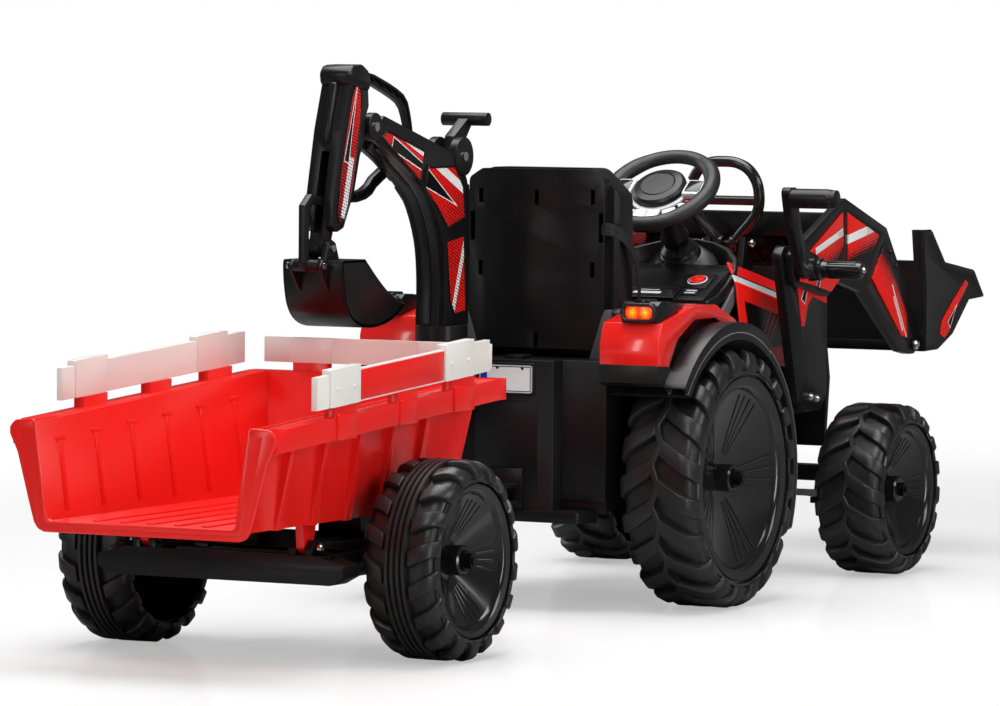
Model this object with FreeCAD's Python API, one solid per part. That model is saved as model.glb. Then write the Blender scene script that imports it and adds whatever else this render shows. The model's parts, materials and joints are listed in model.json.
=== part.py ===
import FreeCAD, Part
import math
import os

# Battery ride-on tractor for a child, with a front loader, a rear digger and a tipping trailer.
# Millimetres. +X points to the tractor's nose, +Y to its left, +Z up. While it is modelled, x = 0
# is the rear axle and z = 0 the ground; every shape is then moved so that the origin is the
# middle of the underside of the overall box.

V = FreeCAD.Vector

# ---- driving dimensions: wheels -------------------------------------------------------------
rear_tyre_radius = 195.0
rear_tyre_width = 126.0
rear_tyre_depth = 40.0
rear_rim_radius = rear_tyre_radius - rear_tyre_depth
front_tyre_radius = 137.0
front_tyre_width = 118.0
front_rim_radius = 106.0
trailer_tyre_radius = 138.0
trailer_tyre_width = 114.0
trailer_rim_radius = 112.0
tyre_wall = 3.0
rim_wall = 3.0
tread_face = 301.0            # outer face of the rear and front tyres, from the middle plane
trailer_tread_face = 298.0
axle_radius = 6.0
stub_radius = 5.0
running_gap = 0.05            # radial clearance of every pin and axle that turns
side_gap = 1.0                # clearance between flat faces that slide past each other
wheelbase = 636.0
trailer_axle_x = -869.0

# ---- driving dimensions: tractor body --------------------------------------------------------
axle_drop = 45.0              # from the rear axle down to the underside of the floor plate
floor_thickness = 14.0
plate_bottom = rear_tyre_radius - axle_drop
plate_top = plate_bottom + floor_thickness
body_half_width = 150.0
body_rear = -175.0
column_rear = -206.0
column_half_width = 78.0
seat_height = 374.0           # top of the body under the seat
body_front = 105.0
body_wall = 4.0
battery_x = (30.0, 95.0)      # rear and front face of the battery
battery_half = 75.0
battery_height = 94.0
gear_boss_radius = 28.0
foot_front = 330.0
foot_wall = 12.0
spine_half_width = 55.0
spine_height = 24.0
pedal_pivot = (300.0, 188.0)
pedal_pin = 3.0
pedal_y = (-84.0, -44.0)
foot_half_width = 165.0
foot_top = 180.0
seat_back_top = 659.0
seat_back_half_width = 130.0
seat_back_depth = 64.0
seat_back_rear = -112.0
seat_pan_front = 128.0
seat_thickness = 26.0
fender_wall = 4.0
fender_rear = column_rear
fender_top_line = [(fender_rear + 12, 434.0), (-85.0, 456.0), (-8.0, 456.0), (62.0, 432.0), (118.0, 392.0)]
fender_under_line = [(98.0, 384.0), (52.0, 416.0), (-10.0, 436.0), (-80.0, 436.0), (-140.0, 408.0),
                     (-168.0, 369.0)]
fender_inner = 154.0
fender_outer = 250.0
flare_outer = 284.0
flare_gap = 14.0              # between the rear tyre and the wheel arch
flare_radius = rear_tyre_radius + flare_gap
flare_wall = 5.0
hood_rear = 355.0
hood_front = 702.0
hood_top_rear = 506.0
hood_top_front = 441.0
hood_low_rear = 357.0
hood_low_front = 308.0
hood_wall = 4.0
console_half_width = 112.0
console_rear = 240.0
console_front = 366.0
console_bottom = 300.0
console_profile = [(300.0, console_bottom), (console_rear, 432.0), (console_rear, 450.0), (268.0, 462.0),
                   (332.0, 490.0), (console_front, 500.0)]
power_button_y = -76.0
power_button_radius = 13.0
power_button_height = 5.0
button_travel = 2.0

# ---- driving dimensions: steering -------------------------------------------------------------
wheel_hub = V(318.0, 0.0, 618.0)
wheel_rake = 37.0             # the wheel's plane, from level
ring_radius = 85.0
ring_tube = 11.0
shaft_radius = 8.0
kingpin_y = 157.0
kingpin_radius = 5.0
steer_arm = 50.0
steer_limit = 20.0            # degrees each way at the road wheels
steer_ratio = 1.5             # steering wheel to road wheel
crank_pin_radius = 4.0
shaft_length = 500.0          # from the wheel's plane to the crank
side_button_y = 58.0
side_button_radius = 10.0

# ---- driving dimensions: loader ---------------------------------------------------------------
post_inner = 170.0
post_thickness = 16.0
post_foot_z = 266.0
arm_thickness = 13.0
lever_thickness = 14.0
lift_pivot = (410.0, 496.0)
dump_pivot = (872.0, 357.0)
loader_pin = 5.0
bucket_half_width = 212.0
bucket_wall = 5.0
bucket_back = 893.0
bucket_length = 257.0
grip_end = 290.0
hoop_pivot = (575.0, 528.0)
hoop_height = 136.0
hoop_half_width = 53.0
hoop_tube = 9.0
hoop_foot_half_width = 14.0
hoop_pin = 4.0
hoop_lean = 7.0               # degrees rearwards

# ---- driving dimensions: digger ---------------------------------------------------------------
digger_y = 90.0
boom_width = 50.0
boom_wall = 4.0
swing_x = -245.0
swing_height = 412.0
swing_post_radius = 14.0
stick_half_width = 23.0
elbow = (-503.0, 722.0)
elbow_radius = 20.0
digger_pin = 4.0
scoop_pivot = (-622.0, 549.0)
scoop_link_pivot = (-657.0, 525.0)
scoop_width = 97.0
scoop_wall = 4.0
lever_pivot = (-222.0, 672.0)

# ---- driving dimensions: trailer --------------------------------------------------------------
hitch_x = -255.0
hitch_pin_radius = 6.0
drawbar_low = 166.0
drawbar_high = 182.0
tub_front = -626.0
tub_length = 642.0
tub_floor = 196.0
tub_wall = 5.0
lip_half_width = 203.0
floor_half_width = 150.0
lip_width = 26.0
lip_rear_z = 333.0
lip_front_z = 372.0
lip_depth = 30.0
rail_height = 44.0
rail_rise = 14.0              # gap between the tub's lip and the side rails
side_posts = ((-1104.0, -1042.0), (-927.0, -870.0), (-769.0, -701.0))
rail_blocks = ((-1118.0, -1036.0), (-791.0, -707.0))
rail_rear_inset = 118.0
rail_front_inset = 28.0
front_posts = (-105.0, 105.0)
front_rail_low = 384.0
front_rail_high = 420.0
rail_outer = 205.0
rail_thickness = 14.0
tip_pivot = (-1039.0, 161.0)
tip_pin_radius = 5.0
frame_half_width = 150.0

# ---- values that follow from the driving dimensions -------------------------------------------
rear_wheel_y = tread_face - rear_tyre_width / 2
front_wheel_y = tread_face - front_tyre_width / 2
trailer_wheel_y = trailer_tread_face - trailer_tyre_width / 2
post_outer = post_inner + post_thickness
arm_inner = post_outer + side_gap
arm_outer = arm_inner + arm_thickness
lever_inner = arm_outer + side_gap
lever_outer = lever_inner + lever_thickness
bucket_tip = bucket_back + bucket_length
tub_rear = tub_front - tub_length
rear_boss = tread_face - rear_tyre_width - (body_half_width - 2)   # reaches through the body wall
tie_rod_x = wheelbase - steer_arm
origin_x = (tub_rear + bucket_tip) / 2
rake = math.radians(wheel_rake)
shaft_axis = V(math.sin(rake), 0, -math.cos(rake))
crank_axis = V(-math.cos(rake), 0, -math.sin(rake))
crank_radius = steer_arm / steer_ratio
beam_top = front_tyre_radius + 34.0
beam_bottom = beam_top - 25.0
boom_right = digger_y - boom_width / 2
boom_left = digger_y + boom_width / 2
nodes = {}


# ---- small helpers ----------------------------------------------------------------------------
def box(x, y, z):
    return Part.makeBox(x[1] - x[0], y[1] - y[0], z[1] - z[0], V(x[0], y[0], z[0]))


def rod(start, end, radius):
    start, end = V(*start), V(*end)
    return Part.makeCylinder(radius, (end - start).Length, start, end - start)


def across(x, z, y_low, y_high, radius):
    return rod((x, y_low, z), (x, y_high, z), radius)


def join(*shapes):
    return shapes[0].fuse(list(shapes[1:])).removeSplitter()


def cut(shape, *tools):
    return shape.cut(list(tools))


def mirrored(shape):
    return shape.mirror(V(0, 0, 0), V(0, 1, 0))


def pair(shape):
    return Part.makeCompound([shape, mirrored(shape)])


def outline(points, radius):
    """Closed wire through the points, each corner rounded by an arc no larger than its edges allow."""
    edges, ends = [], []
    count = len(points)
    for i in range(count):
        before, corner, after = points[i - 1], points[i], points[(i + 1) % count]
        back, ahead = before - corner, after - corner
        turn = math.pi - back.getAngle(ahead)
        reach = min(radius * math.tan(turn / 2), 0.45 * back.Length, 0.45 * ahead.Length)
        if radius <= 0 or reach < 0.05:
            ends.append((corner, corner, None))
            continue
        start = corner + V(back).normalize() * reach
        end = corner + V(ahead).normalize() * reach
        arc_radius = reach / math.tan(turn / 2)
        middle_way = ((start + end) * 0.5 - corner).normalize()
        centre = corner + middle_way * (arc_radius / math.cos(turn / 2))
        ends.append((start, end, centre - middle_way * arc_radius))
    for i in range(count):
        start, end, middle = ends[i]
        if middle is not None:
            edges.append(Part.Arc(start, middle, end).toShape())
        following = ends[(i + 1) % count][0]
        if (following - end).Length > 1e-6:
            edges.append(Part.LineSegment(end, following).toShape())
    return Part.Wire(edges)


def plate(points, y_low, y_high, radius=0.0):
    """Side outline of (x, z) points, extruded along Y."""
    wire = outline([V(x, y_low, z) for x, z in points], radius)
    return Part.Face(wire).extrude(V(0, y_high - y_low, 0))


def slab(points, z_low, z_high, radius=0.0):
    """Plan outline of (x, y) points, extruded along Z."""
    wire = outline([V(x, y, z_low) for x, y in points], radius)
    return Part.Face(wire).extrude(V(0, 0, z_high - z_low))


def panel(points, x_low, x_high, radius=0.0):
    """Front outline of (y, z) points, extruded along X."""
    wire = outline([V(x_low, y, z) for y, z in points], radius)
    return Part.Face(wire).extrude(V(x_high - x_low, 0, 0))


def turned(points):
    """Solid of revolution about Y from (radius, y) points."""
    wire = outline([V(r, y, 0) for r, y in points], 0)
    return Part.Face(wire).revolve(V(0, 0, 0), V(0, 1, 0), 360)


def loft(sections):
    return Part.makeLoft([outline(points, 0) for points in sections], True, True)


def moved(shape, x, y, z):
    copy = shape.copy()
    copy.translate(V(x, y, z))
    return copy


# ---- wheels -----------------------------------------------------------------------------------
def tyre(radius, width, rim_radius):
    """Hollow tyre, open to the rim; its outboard side is +Y."""
    half = width / 2
    shoulder = radius - 14
    outer = [(rim_radius, -half + 12), (rim_radius + 8, -half + 4), (shoulder, -half),
             (radius, -half + 16), (radius, half - 16), (shoulder, half),
             (rim_radius + 8, half - 4), (rim_radius, half - 12)]
    inside = radius - tyre_wall - 3
    inner = [(rim_radius, half - 18), (rim_radius + 10, half - 10), (shoulder - 2, half - tyre_wall - 2),
             (inside, half - 20), (inside, -half + 20), (shoulder - 2, -half + tyre_wall + 2),
             (rim_radius + 10, -half + 10), (rim_radius, -half + 18)]
    return turned(outer + inner)


def rim(width, rim_radius, bore, boss_in, boss_radius):
    """Dished rim with its hub; boss_in is how far the hub stands inboard of the tyre."""
    half = width / 2
    barrel = rim_radius - rim_wall
    disc_out, disc_in = half - 22, half - 46
    hub_radius = bore + 22
    profile = [(bore, -half - boss_in), (boss_radius, -half - boss_in), (boss_radius, -half + 20),
               (hub_radius, -half + 20), (hub_radius, disc_in - rim_wall), (barrel, disc_out - rim_wall),
               (barrel, -half + 8), (rim_radius, -half + 8), (rim_radius, half - 8), (barrel, half - 8),
               (barrel, disc_out), (hub_radius, disc_in), (hub_radius, half - 20), (bore, half - 20)]
    return turned(profile)


def wheel_pair(name, x, y, z, tyre_shape, rim_shape):
    for side, sign in (("left", 1), ("right", -1)):
        for kind, shape in (("tyre", tyre_shape), ("rim", rim_shape)):
            placed = moved(shape, x, y, z)
            nodes[f"{name}_{kind}_{side}"] = placed if sign > 0 else mirrored(placed)


def make_wheels():
    wheel_pair("rear", 0, rear_wheel_y, rear_tyre_radius,
               tyre(rear_tyre_radius, rear_tyre_width, rear_rim_radius),
               rim(rear_tyre_width, rear_rim_radius, axle_radius + running_gap, rear_boss, gear_boss_radius))
    wheel_pair("front", wheelbase, front_wheel_y, front_tyre_radius,
               tyre(front_tyre_radius, front_tyre_width, front_rim_radius),
               rim(front_tyre_width, front_rim_radius, stub_radius + running_gap, 0.0, stub_radius + 14))
    wheel_pair("trailer", trailer_axle_x, trailer_wheel_y, trailer_tyre_radius,
               tyre(trailer_tyre_radius, trailer_tyre_width, trailer_rim_radius),
               rim(trailer_tyre_width, trailer_rim_radius, axle_radius + running_gap, 8.0, axle_radius + 12))


def axle_with_nuts(x, z, wheel_y, width, hub_reach):
    """Straight axle with a washer and nut just outside each hub."""
    hub_out = wheel_y + width / 2 - hub_reach
    end = hub_out + side_gap + 14
    bar = across(x, z, -end, end, axle_radius)
    nut = join(across(x, z, hub_out + side_gap, hub_out + side_gap + 2, axle_radius + 9),
               across(x, z, hub_out + side_gap + 2, end - 2, axle_radius + 5))
    return join(bar, nut, mirrored(nut))


# ---- tractor: floor, body, seat ---------------------------------------------------------------
def make_floor():
    rear_floor = box((body_rear + 3, body_front + 3), (-body_half_width, body_half_width),
                     (plate_bottom, plate_top))
    boards = join(box((body_front + 3, foot_front), (-foot_half_width, foot_half_width),
                      (plate_bottom, plate_top)),
                  box((body_front + 3, foot_front), (-foot_half_width, foot_half_width),
                      (plate_top, foot_top)))
    rear_floor = cut(rear_floor, box((body_rear + 9, body_front - 3),
                                     (-body_half_width + 6, body_half_width - 6),
                                     (plate_bottom - 1, plate_top - 4)))
    boards = cut(boards, box((body_front + 3 + foot_wall, foot_front - foot_wall),
                             (-foot_half_width + foot_wall, foot_half_width - foot_wall),
                             (plate_bottom, foot_top - 5)))
    spine_low, spine_high = beam_top, beam_top + spine_height
    spine_y = (-spine_half_width, spine_half_width)
    spine = box((foot_front, hood_front - 14), spine_y, (spine_low, spine_high))
    neck = box((foot_front, foot_front + 60), spine_y, (plate_bottom, spine_low))
    spine = cut(spine, box((tie_rod_x - 18, wheelbase - 18), (-34, 34), (spine_low - 1, spine_high + 1)))
    bearing_foot = box((540, 556), (-40, 40), (spine_high, spine_high + 110))
    shoulders = [box((440, 532), (spine_half_width, post_inner), (post_foot_z + 6, post_foot_z + 22)),
                 box((440, 532), (spine_half_width, spine_half_width + 16), (spine_low, post_foot_z + 6)),
                 box((440, 532), (post_inner - 16, post_inner), (post_foot_z - 2, post_foot_z + 44))]
    floor = join(rear_floor, boards, spine, neck, bearing_foot, *shoulders, *[mirrored(s) for s in shoulders])
    steering_way = rod(wheel_hub, wheel_hub + shaft_axis * 560, shaft_radius + running_gap)
    battery_tray = [box((battery_x[0] - 4, battery_x[1] + 4), (-battery_half - 4, battery_half + 4),
                        (plate_top, plate_top + 12))]
    battery_room = box(battery_x, (-battery_half, battery_half), (plate_top, plate_top + 20))
    nodes["floor_pan"] = cut(join(floor, *battery_tray), steering_way, battery_room)


def make_body():
    wall = body_wall
    shell = box((body_rear, body_front), (-body_half_width, body_half_width), (plate_top, seat_height))
    inside = box((body_rear + wall, body_front - wall), (-body_half_width + wall, body_half_width - wall),
                 (plate_top - 1, seat_height - wall))
    column = box((column_rear, body_rear), (-column_half_width, column_half_width),
                 (plate_bottom, seat_height))
    column_inside = box((column_rear + wall, body_rear),
                        (-column_half_width + wall, column_half_width - wall),
                        (plate_bottom - 1, seat_height - wall))
    step = slab([(body_rear + 2, -141), (column_rear - 12, -125), (column_rear - 12, 125),
                 (body_rear + 2, 141)],
                plate_bottom - 16, plate_bottom, 6)
    ear = plate([(body_rear + 50, seat_height), (body_rear + 56, seat_height + 70),
                 (body_rear + 64, seat_height + 77),
                 (body_rear + 82, seat_height + 77), (body_rear + 92, seat_height)],
                seat_back_half_width + side_gap, seat_back_half_width + 13, 4)
    axle_way = across(0, rear_tyre_radius, -body_half_width - 1, body_half_width + 1, gear_boss_radius + 4)
    nodes["rear_body"] = cut(join(shell, column, step, ear, mirrored(ear)), inside, column_inside, axle_way)


def make_drive():
    axle_z = rear_tyre_radius
    nodes["rear_axle"] = axle_with_nuts(0, axle_z, rear_wheel_y, rear_tyre_width, 20)
    inner, outer = 96.0, body_half_width - 2 - side_gap
    case_top = axle_z + 40
    case = plate([(-70, axle_z - 31), (22, axle_z - 31), (34, axle_z - 10), (28, axle_z + 28),
                  (-10, case_top), (-70, case_top)], inner, outer - 6, 8)
    ring = across(0, axle_z, outer - 6, outer, 26)
    motor = across(-48, axle_z + 8, inner - 62, inner, 19)
    gearbox = cut(join(case, ring, motor), across(0, axle_z, inner - 70, outer + 1, axle_radius + 0.2))
    nodes["drive_gearboxes"] = pair(gearbox)
    battery = box(battery_x, (-battery_half, battery_half), (plate_top, plate_top + battery_height))
    terminal = box((battery_x[0] + 8, battery_x[0] + 16), (battery_half - 18, battery_half - 8),
                   (plate_top + battery_height, plate_top + battery_height + 6))
    nodes["battery"] = join(battery, terminal, mirrored(terminal))


def make_seat():
    top, rear, depth = seat_back_top, seat_back_rear, seat_back_depth
    low = seat_height + seat_thickness * 0.5
    half = seat_back_half_width
    rear_half = half - 16
    rear_face = [(-rear_half, low), (-rear_half, top - 16), (-rear_half + 22, top - 2),
                 (rear_half - 22, top - 2), (rear_half, top - 16), (rear_half, low)]
    back = panel([(-half, low), (-half, top - 40), (-half + 42, top), (half - 42, top), (half, top - 40),
                  (half, low)], rear + 20, rear + depth, 24)
    rear_plate = panel(rear_face, rear, rear + 20, 12)
    hollow = panel([(-half + 10, low + 8), (-half + 10, top - 44), (-half + 46, top - 10),
                    (half - 46, top - 10),
                    (half - 10, top - 44), (half - 10, low + 8)], rear + 24, rear + depth - 14, 16)
    hollow_rear = panel([(y * 0.93, low + 8 + (z - low) * 0.95) for y, z in rear_face], rear + 5, rear + 24,
                        8)
    centre_hole = [(0, top - 45)]
    side_holes = [(s * 94, z) for s in (-1, 1) for z in (top - 43, top - 152)] + [(0, low + 12)]
    slots = [box((rear - 1, rear + 12), (y - 3.5, y + 3.5), (z - 11, z + 11)) for y,
             z in centre_hole + side_holes]
    recess = panel([(-half + 34, low + 40), (-half + 30, top - 60), (-half + 56, top - 30),
                    (half - 56, top - 30),
                    (half - 30, top - 60), (half - 34, low + 40)], rear + depth - 8, rear + depth + 1, 20)
    strap_hole = [box((rear - 1, rear + depth + 1), (s * (half - 22) - 4, s * (half - 22) + 4), (548, 592))
                  for s in (-1, 1)]
    nodes["seat_back"] = cut(join(back, rear_plate), hollow, hollow_rear, recess, *slots, *strap_hole)
    pan_half = half - 4
    pan = slab([(rear + depth, -pan_half), (seat_pan_front, -pan_half), (seat_pan_front, pan_half),
                (rear + depth, pan_half)], seat_height, seat_height + seat_thickness, 30)
    seat_lap = box((rear + depth, rear + depth + 8), (-pan_half, pan_half),
                   (seat_height, seat_height + seat_thickness))
    dish = slab([(rear + depth + 12, -pan_half + 26), (seat_pan_front - 22, -pan_half + 26),
                 (seat_pan_front - 22, pan_half - 26), (rear + depth + 12, pan_half - 26)],
                seat_height + seat_thickness - 8, seat_height + seat_thickness + 1, 24)
    belly = slab([(rear + depth + 12, -pan_half + 12), (body_front - 8, -pan_half + 12),
                  (body_front - 8, pan_half - 12), (rear + depth + 12, pan_half - 12)],
                 seat_height - 1, seat_height + seat_thickness - 12, 18)
    nodes["seat_pan"] = cut(join(pan, seat_lap), dish, belly)


def make_belt():
    """Flat webbing that lies on the seat back's front face and on the pan, with a buckle."""
    face = seat_back_rear + seat_back_depth
    y = seat_back_half_width - 22
    seat_top = seat_height + seat_thickness
    strap = box((face, face + 2), (-y - 14, -y + 14), (seat_top + 2, 546))
    lap = box((face, face + 60), (-y - 14, -y + 14), (seat_top, seat_top + 2))
    buckle = box((face + 60, face + 96), (-y - 16, -y + 16), (seat_top, seat_top + 9))
    nodes["seat_belt"] = Part.makeCompound([join(strap, lap, buckle), mirrored(join(strap, lap))])


# ---- fenders, lamps, plate --------------------------------------------------------------------
def make_fenders():
    outer = [(fender_rear, 372.0), (fender_rear, 404.0)] + fender_top_line + fender_under_line
    solid = plate(outer, fender_inner, fender_outer)
    top_in = [(x, z - fender_wall) for x, z in fender_top_line]
    top_in[0] = (fender_rear + 12 + fender_wall, top_in[0][1])
    inner = [(fender_rear + fender_wall, 360.0), (fender_rear + fender_wall, 402.0)] + top_in[:-1]
    inner += [(106.0, 389.0), (90.0, 370.0)]
    inner += [(x, z - 14) for x, z in fender_under_line[1:-1]]
    inner.append((-168.0, 350.0))
    hollow = plate(inner, fender_inner - 1, fender_outer - fender_wall)
    web = plate([(-150, 440), (-60, 452), (-60, 440), (-134.667, 412), (-140.667, 412)],
                fender_inner, fender_inner + 6)
    nodes["fenders"] = pair(join(cut(solid, hollow), web))


def make_flares():
    """Black wheel arches below the red fenders: a rolled band with an upright lip outside."""
    axle_z = rear_tyre_radius

    def ring(radius_in, radius_out, y_low, y_high):
        return cut(across(0, axle_z, y_low, y_high, radius_out), across(0, axle_z, y_low - 1, y_high + 1,
                                                                        radius_in))

    def arc_window(start, end, y_low, y_high):
        reach = 420.0
        points = [(0, axle_z)]
        steps = 4
        for i in range(steps + 1):
            angle = math.radians(start + (end - start) * i / steps)
            points.append((reach * math.cos(angle), axle_z + reach * math.sin(angle)))
        return plate(points, y_low, y_high)

    y_low, y_high = fender_inner, flare_outer
    band = ring(flare_radius, flare_radius + flare_wall, y_low, y_high)
    lip = ring(flare_radius, flare_radius + 26, fender_outer, y_high)
    lip_room = ring(flare_radius + flare_wall, flare_radius + 22, fender_outer + 4, y_high - flare_wall)
    arch = cut(join(band, lip), lip_room).common(arc_window(57, 142, y_low - 1, y_high + 1))
    skirt_end, skirt_low = 45.0 - rear_tyre_radius, axle_z + rear_tyre_radius - 50
    skirt = plate([(fender_rear, 346), (fender_rear, 372), (-168, 372), (skirt_end, skirt_low + 12),
                   (skirt_end - 15, skirt_low), (-190, skirt_low)], y_low, fender_outer)
    arch = cut(join(arch, skirt), across(0, axle_z, y_low - 1, y_high + 1, flare_radius))
    carrier = box((-60, 40), (body_half_width, fender_inner), (seat_height - 24, seat_height))
    arch_top = axle_z + flare_radius
    stay = box((-60, 40), (fender_inner, fender_inner + 6),
               (min(seat_height - 24, arch_top - 4), max(arch_top + 2, seat_height)))
    arch = join(arch, cut(join(carrier, stay), across(0, axle_z, 0, 400, rear_tyre_radius + 3)))
    nodes["arch_flares"] = pair(cut(arch, *nodes["fenders"].Solids))


def make_lamps():
    (x0, z0), (x1, z1) = fender_top_line[0], fender_top_line[1]
    slope = (z1 - z0) / (x1 - x0)
    rear, front = x0 + 1, x0 + 70
    y_low, y_high = 184.0, 244.0
    pod = plate([(rear, z0 + slope * (rear - x0)), (rear - 5, z0 + 8), (rear - 2, z0 + 26),
                 (rear + 8, z0 + 32), (front - 26, z0 + 30), (front, z0 + slope * (front - x0) + 1),
                 (front, z0 + slope * (front - x0))], y_low, y_high, 2)
    pocket = box((rear - 20, rear + 4), (y_low + 7, y_high - 7), (z0 + 6, z0 + 25))
    nodes["tail_lamp_housings"] = pair(cut(pod, pocket))
    lens = box((rear - 4, rear + 4), (y_low + 7, y_high - 7), (z0 + 6, z0 + 25))
    nodes["tail_lamp_lenses"] = pair(lens)
    nodes["number_plate"] = panel([(-44, 325), (44, 325), (44, 366), (-44, 366)], column_rear - 4,
                                  column_rear, 4)


# ---- dashboard, hood, grille ------------------------------------------------------------------
def button_frame():
    (x0, z0), (x1, z1) = console_profile[3], console_profile[4]
    along = V(x1 - x0, 0, z1 - z0).normalize()
    normal = V(-along.z, 0, along.x)
    middle = V((x0 + x1) / 2, power_button_y, (z0 + z1) / 2)
    return middle, normal


def make_console():
    half, wall = console_half_width, body_wall
    profile = console_profile + [(console_front, console_bottom)]
    inner = [(304.0, console_bottom - 1), (console_rear + wall, 434.0), (console_rear + wall, 447.0),
             (270.0, 458.0), (333.0, 485.5), (console_front - wall, 494.0),
             (console_front - wall, console_bottom - 1)]
    shell = cut(plate(profile, -half, half), plate(inner, -half + wall, half - wall))
    base_top, base_end = 112.0, 190.0
    column = Part.makeCone(24, 40, 34, wheel_hub + shaft_axis * base_top, shaft_axis)
    sleeve = Part.makeCylinder(16, base_end - base_top, wheel_hub + shaft_axis * base_top, shaft_axis)
    bridge = cut(plate([(console_front, 420), (console_front, 500), (425, 496), (440, 486), (440, 470)], -84,
                       84),
                 plate([(370, 424), (362, 420), (362, 494), (424, 490), (436, 482)], -80, 80))
    body = join(shell, column, sleeve, bridge)
    leg = box((console_front - 18, console_front), (-60, 60), (beam_top + spine_height, console_bottom + 4))
    body = join(body, leg)
    way = rod(wheel_hub + shaft_axis * 60, wheel_hub + shaft_axis * 300, shaft_radius + running_gap)
    middle, normal = button_frame()
    sunk = 5.0
    well_depth = sunk + button_travel + side_gap
    cup = rod(middle - normal * (well_depth + 3), middle, power_button_radius + 3)
    well = rod(middle - normal * well_depth, middle + normal * 10, power_button_radius + 0.4)
    nodes["dash_console"] = cut(join(body, cup), way, well)
    nodes["power_button"] = rod(middle - normal * sunk, middle + normal * power_button_height,
                                power_button_radius)
    (x0, z0), (x1, z1) = console_profile[2], console_profile[3]
    face_low = [(x0 + 3, z0 + 1.3), (x1 - 2, z1 - 0.9)]
    lift = 3.0
    nodes["audio_panel"] = cut(plate([face_low[0], (face_low[0][0] - 1, face_low[0][1] + lift),
                                      (face_low[1][0] - 1, face_low[1][1] + lift), face_low[1]], -58, 62),
                               plate(profile, -half, half))


def hood_section(x, z_low, z_top, shrink, y_low, y_mid, y_top):
    low = z_low - (30 if shrink else 0)
    shoulder = z_top - 36
    return [V(x, -y_low + shrink, low), V(x, -y_mid + shrink, shoulder - shrink * 0.4),
            V(x, -y_top + shrink * 0.6, z_top - shrink), V(x, y_top - shrink * 0.6, z_top - shrink),
            V(x, y_mid - shrink, shoulder - shrink * 0.4), V(x, y_low - shrink, low)]


def make_hood():
    outer = loft([hood_section(hood_rear, hood_low_rear, hood_top_rear, 0, 136, 128, 104),
                  hood_section(hood_front, hood_low_front, hood_top_front, 0, 122, 112, 88)])
    inner = loft([hood_section(hood_rear - 1, hood_low_rear, hood_top_rear, hood_wall, 136, 128, 104),
                  hood_section(hood_front - 4, hood_low_front, hood_top_front, hood_wall, 122, 112, 88)])
    notch = box((hood_rear - 2, 446), (-88, 88), (430, 560))
    console_room = box((hood_rear - 2, 368), (-console_half_width, console_half_width), (280, 560))
    nodes["hood"] = cut(outer, inner, notch, console_room)
    grille = panel([(-116, 196), (-122, 308), (-112, 405), (-88, hood_top_front), (88, hood_top_front),
                    (112, 405), (122, 308), (116, 196)], hood_front, hood_front + 14, 8)
    slats = [box((hood_front + 6, hood_front + 15), (-84, 84), (z, z + 9)) for z in range(236, 386, 18)]
    foot = box((hood_front - 14, hood_front), (-54, 54), (beam_top + 2, beam_top + 22))
    nodes["front_grille"] = cut(join(grille, foot), *slats)
    nodes["floor_pan"] = cut(nodes["floor_pan"], foot)
    lamp = panel([(62, 398), (100, 392), (92, 424), (66, 428)], hood_front + 14, hood_front + 22, 5)
    nodes["headlamps"] = pair(lamp)


# ---- steering ----------------------------------------------------------------------------------
def make_steering():
    hub, axis = wheel_hub, shaft_axis
    ring = Part.makeTorus(ring_radius, ring_tube, hub, axis)
    across_wheel = V(0, 1, 0)
    spokes = [Part.makeCylinder(5, ring_radius - 4, hub + axis * 8, direction)
              for direction in (across_wheel, across_wheel * -1, crank_axis)]
    boss = Part.makeCone(20, 44, 26, hub + axis * 26, axis * -1)
    lid = Part.makeCylinder(44, 8, hub, axis * -1)
    collar = Part.makeCylinder(19, 70, hub + axis * 26, axis)
    core = join(boss, lid, collar, *spokes)
    nodes["steering_rim"] = ring
    stub = Part.makeCylinder(shaft_radius, 96, hub, axis)
    wells = []
    for sign, side in ((1, "left"), (-1, "right")):
        seat = hub + across_wheel * (sign * side_button_y) + axis * 2
        core = join(core, Part.makeCylinder(side_button_radius + 3, 12, seat + axis * 12, axis * -1))
        wells.append(Part.makeCylinder(side_button_radius + 0.4, 8, seat + axis * 7.5, axis * -1))
        nodes[f"wheel_button_{side}"] = Part.makeCylinder(side_button_radius, 6.5, seat + axis * 5, axis * -1)
    nodes["steering_hub"] = cut(core, stub, ring, *wells)
    crank_at = hub + axis * shaft_length
    shaft = Part.makeCylinder(shaft_radius, shaft_length + 6, hub, axis)
    arm_root = crank_at + axis * -6
    arm = join(Part.makeCylinder(13, 10, arm_root, axis),
               Part.makeCylinder(9, 10, arm_root + crank_axis * crank_radius, axis))
    web = Part.makeBox(crank_radius, 14, 10)
    web_place = FreeCAD.Placement(arm_root + V(0, -7, 0), FreeCAD.Rotation(crank_axis, V(0, 1, 0), axis,
                                                                           "XYZ"))
    web.Placement = web_place
    pin = Part.makeCylinder(crank_pin_radius, 28, crank_at + crank_axis * crank_radius, axis)
    nodes["steering_shaft"] = join(shaft, arm, web, pin)


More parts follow.
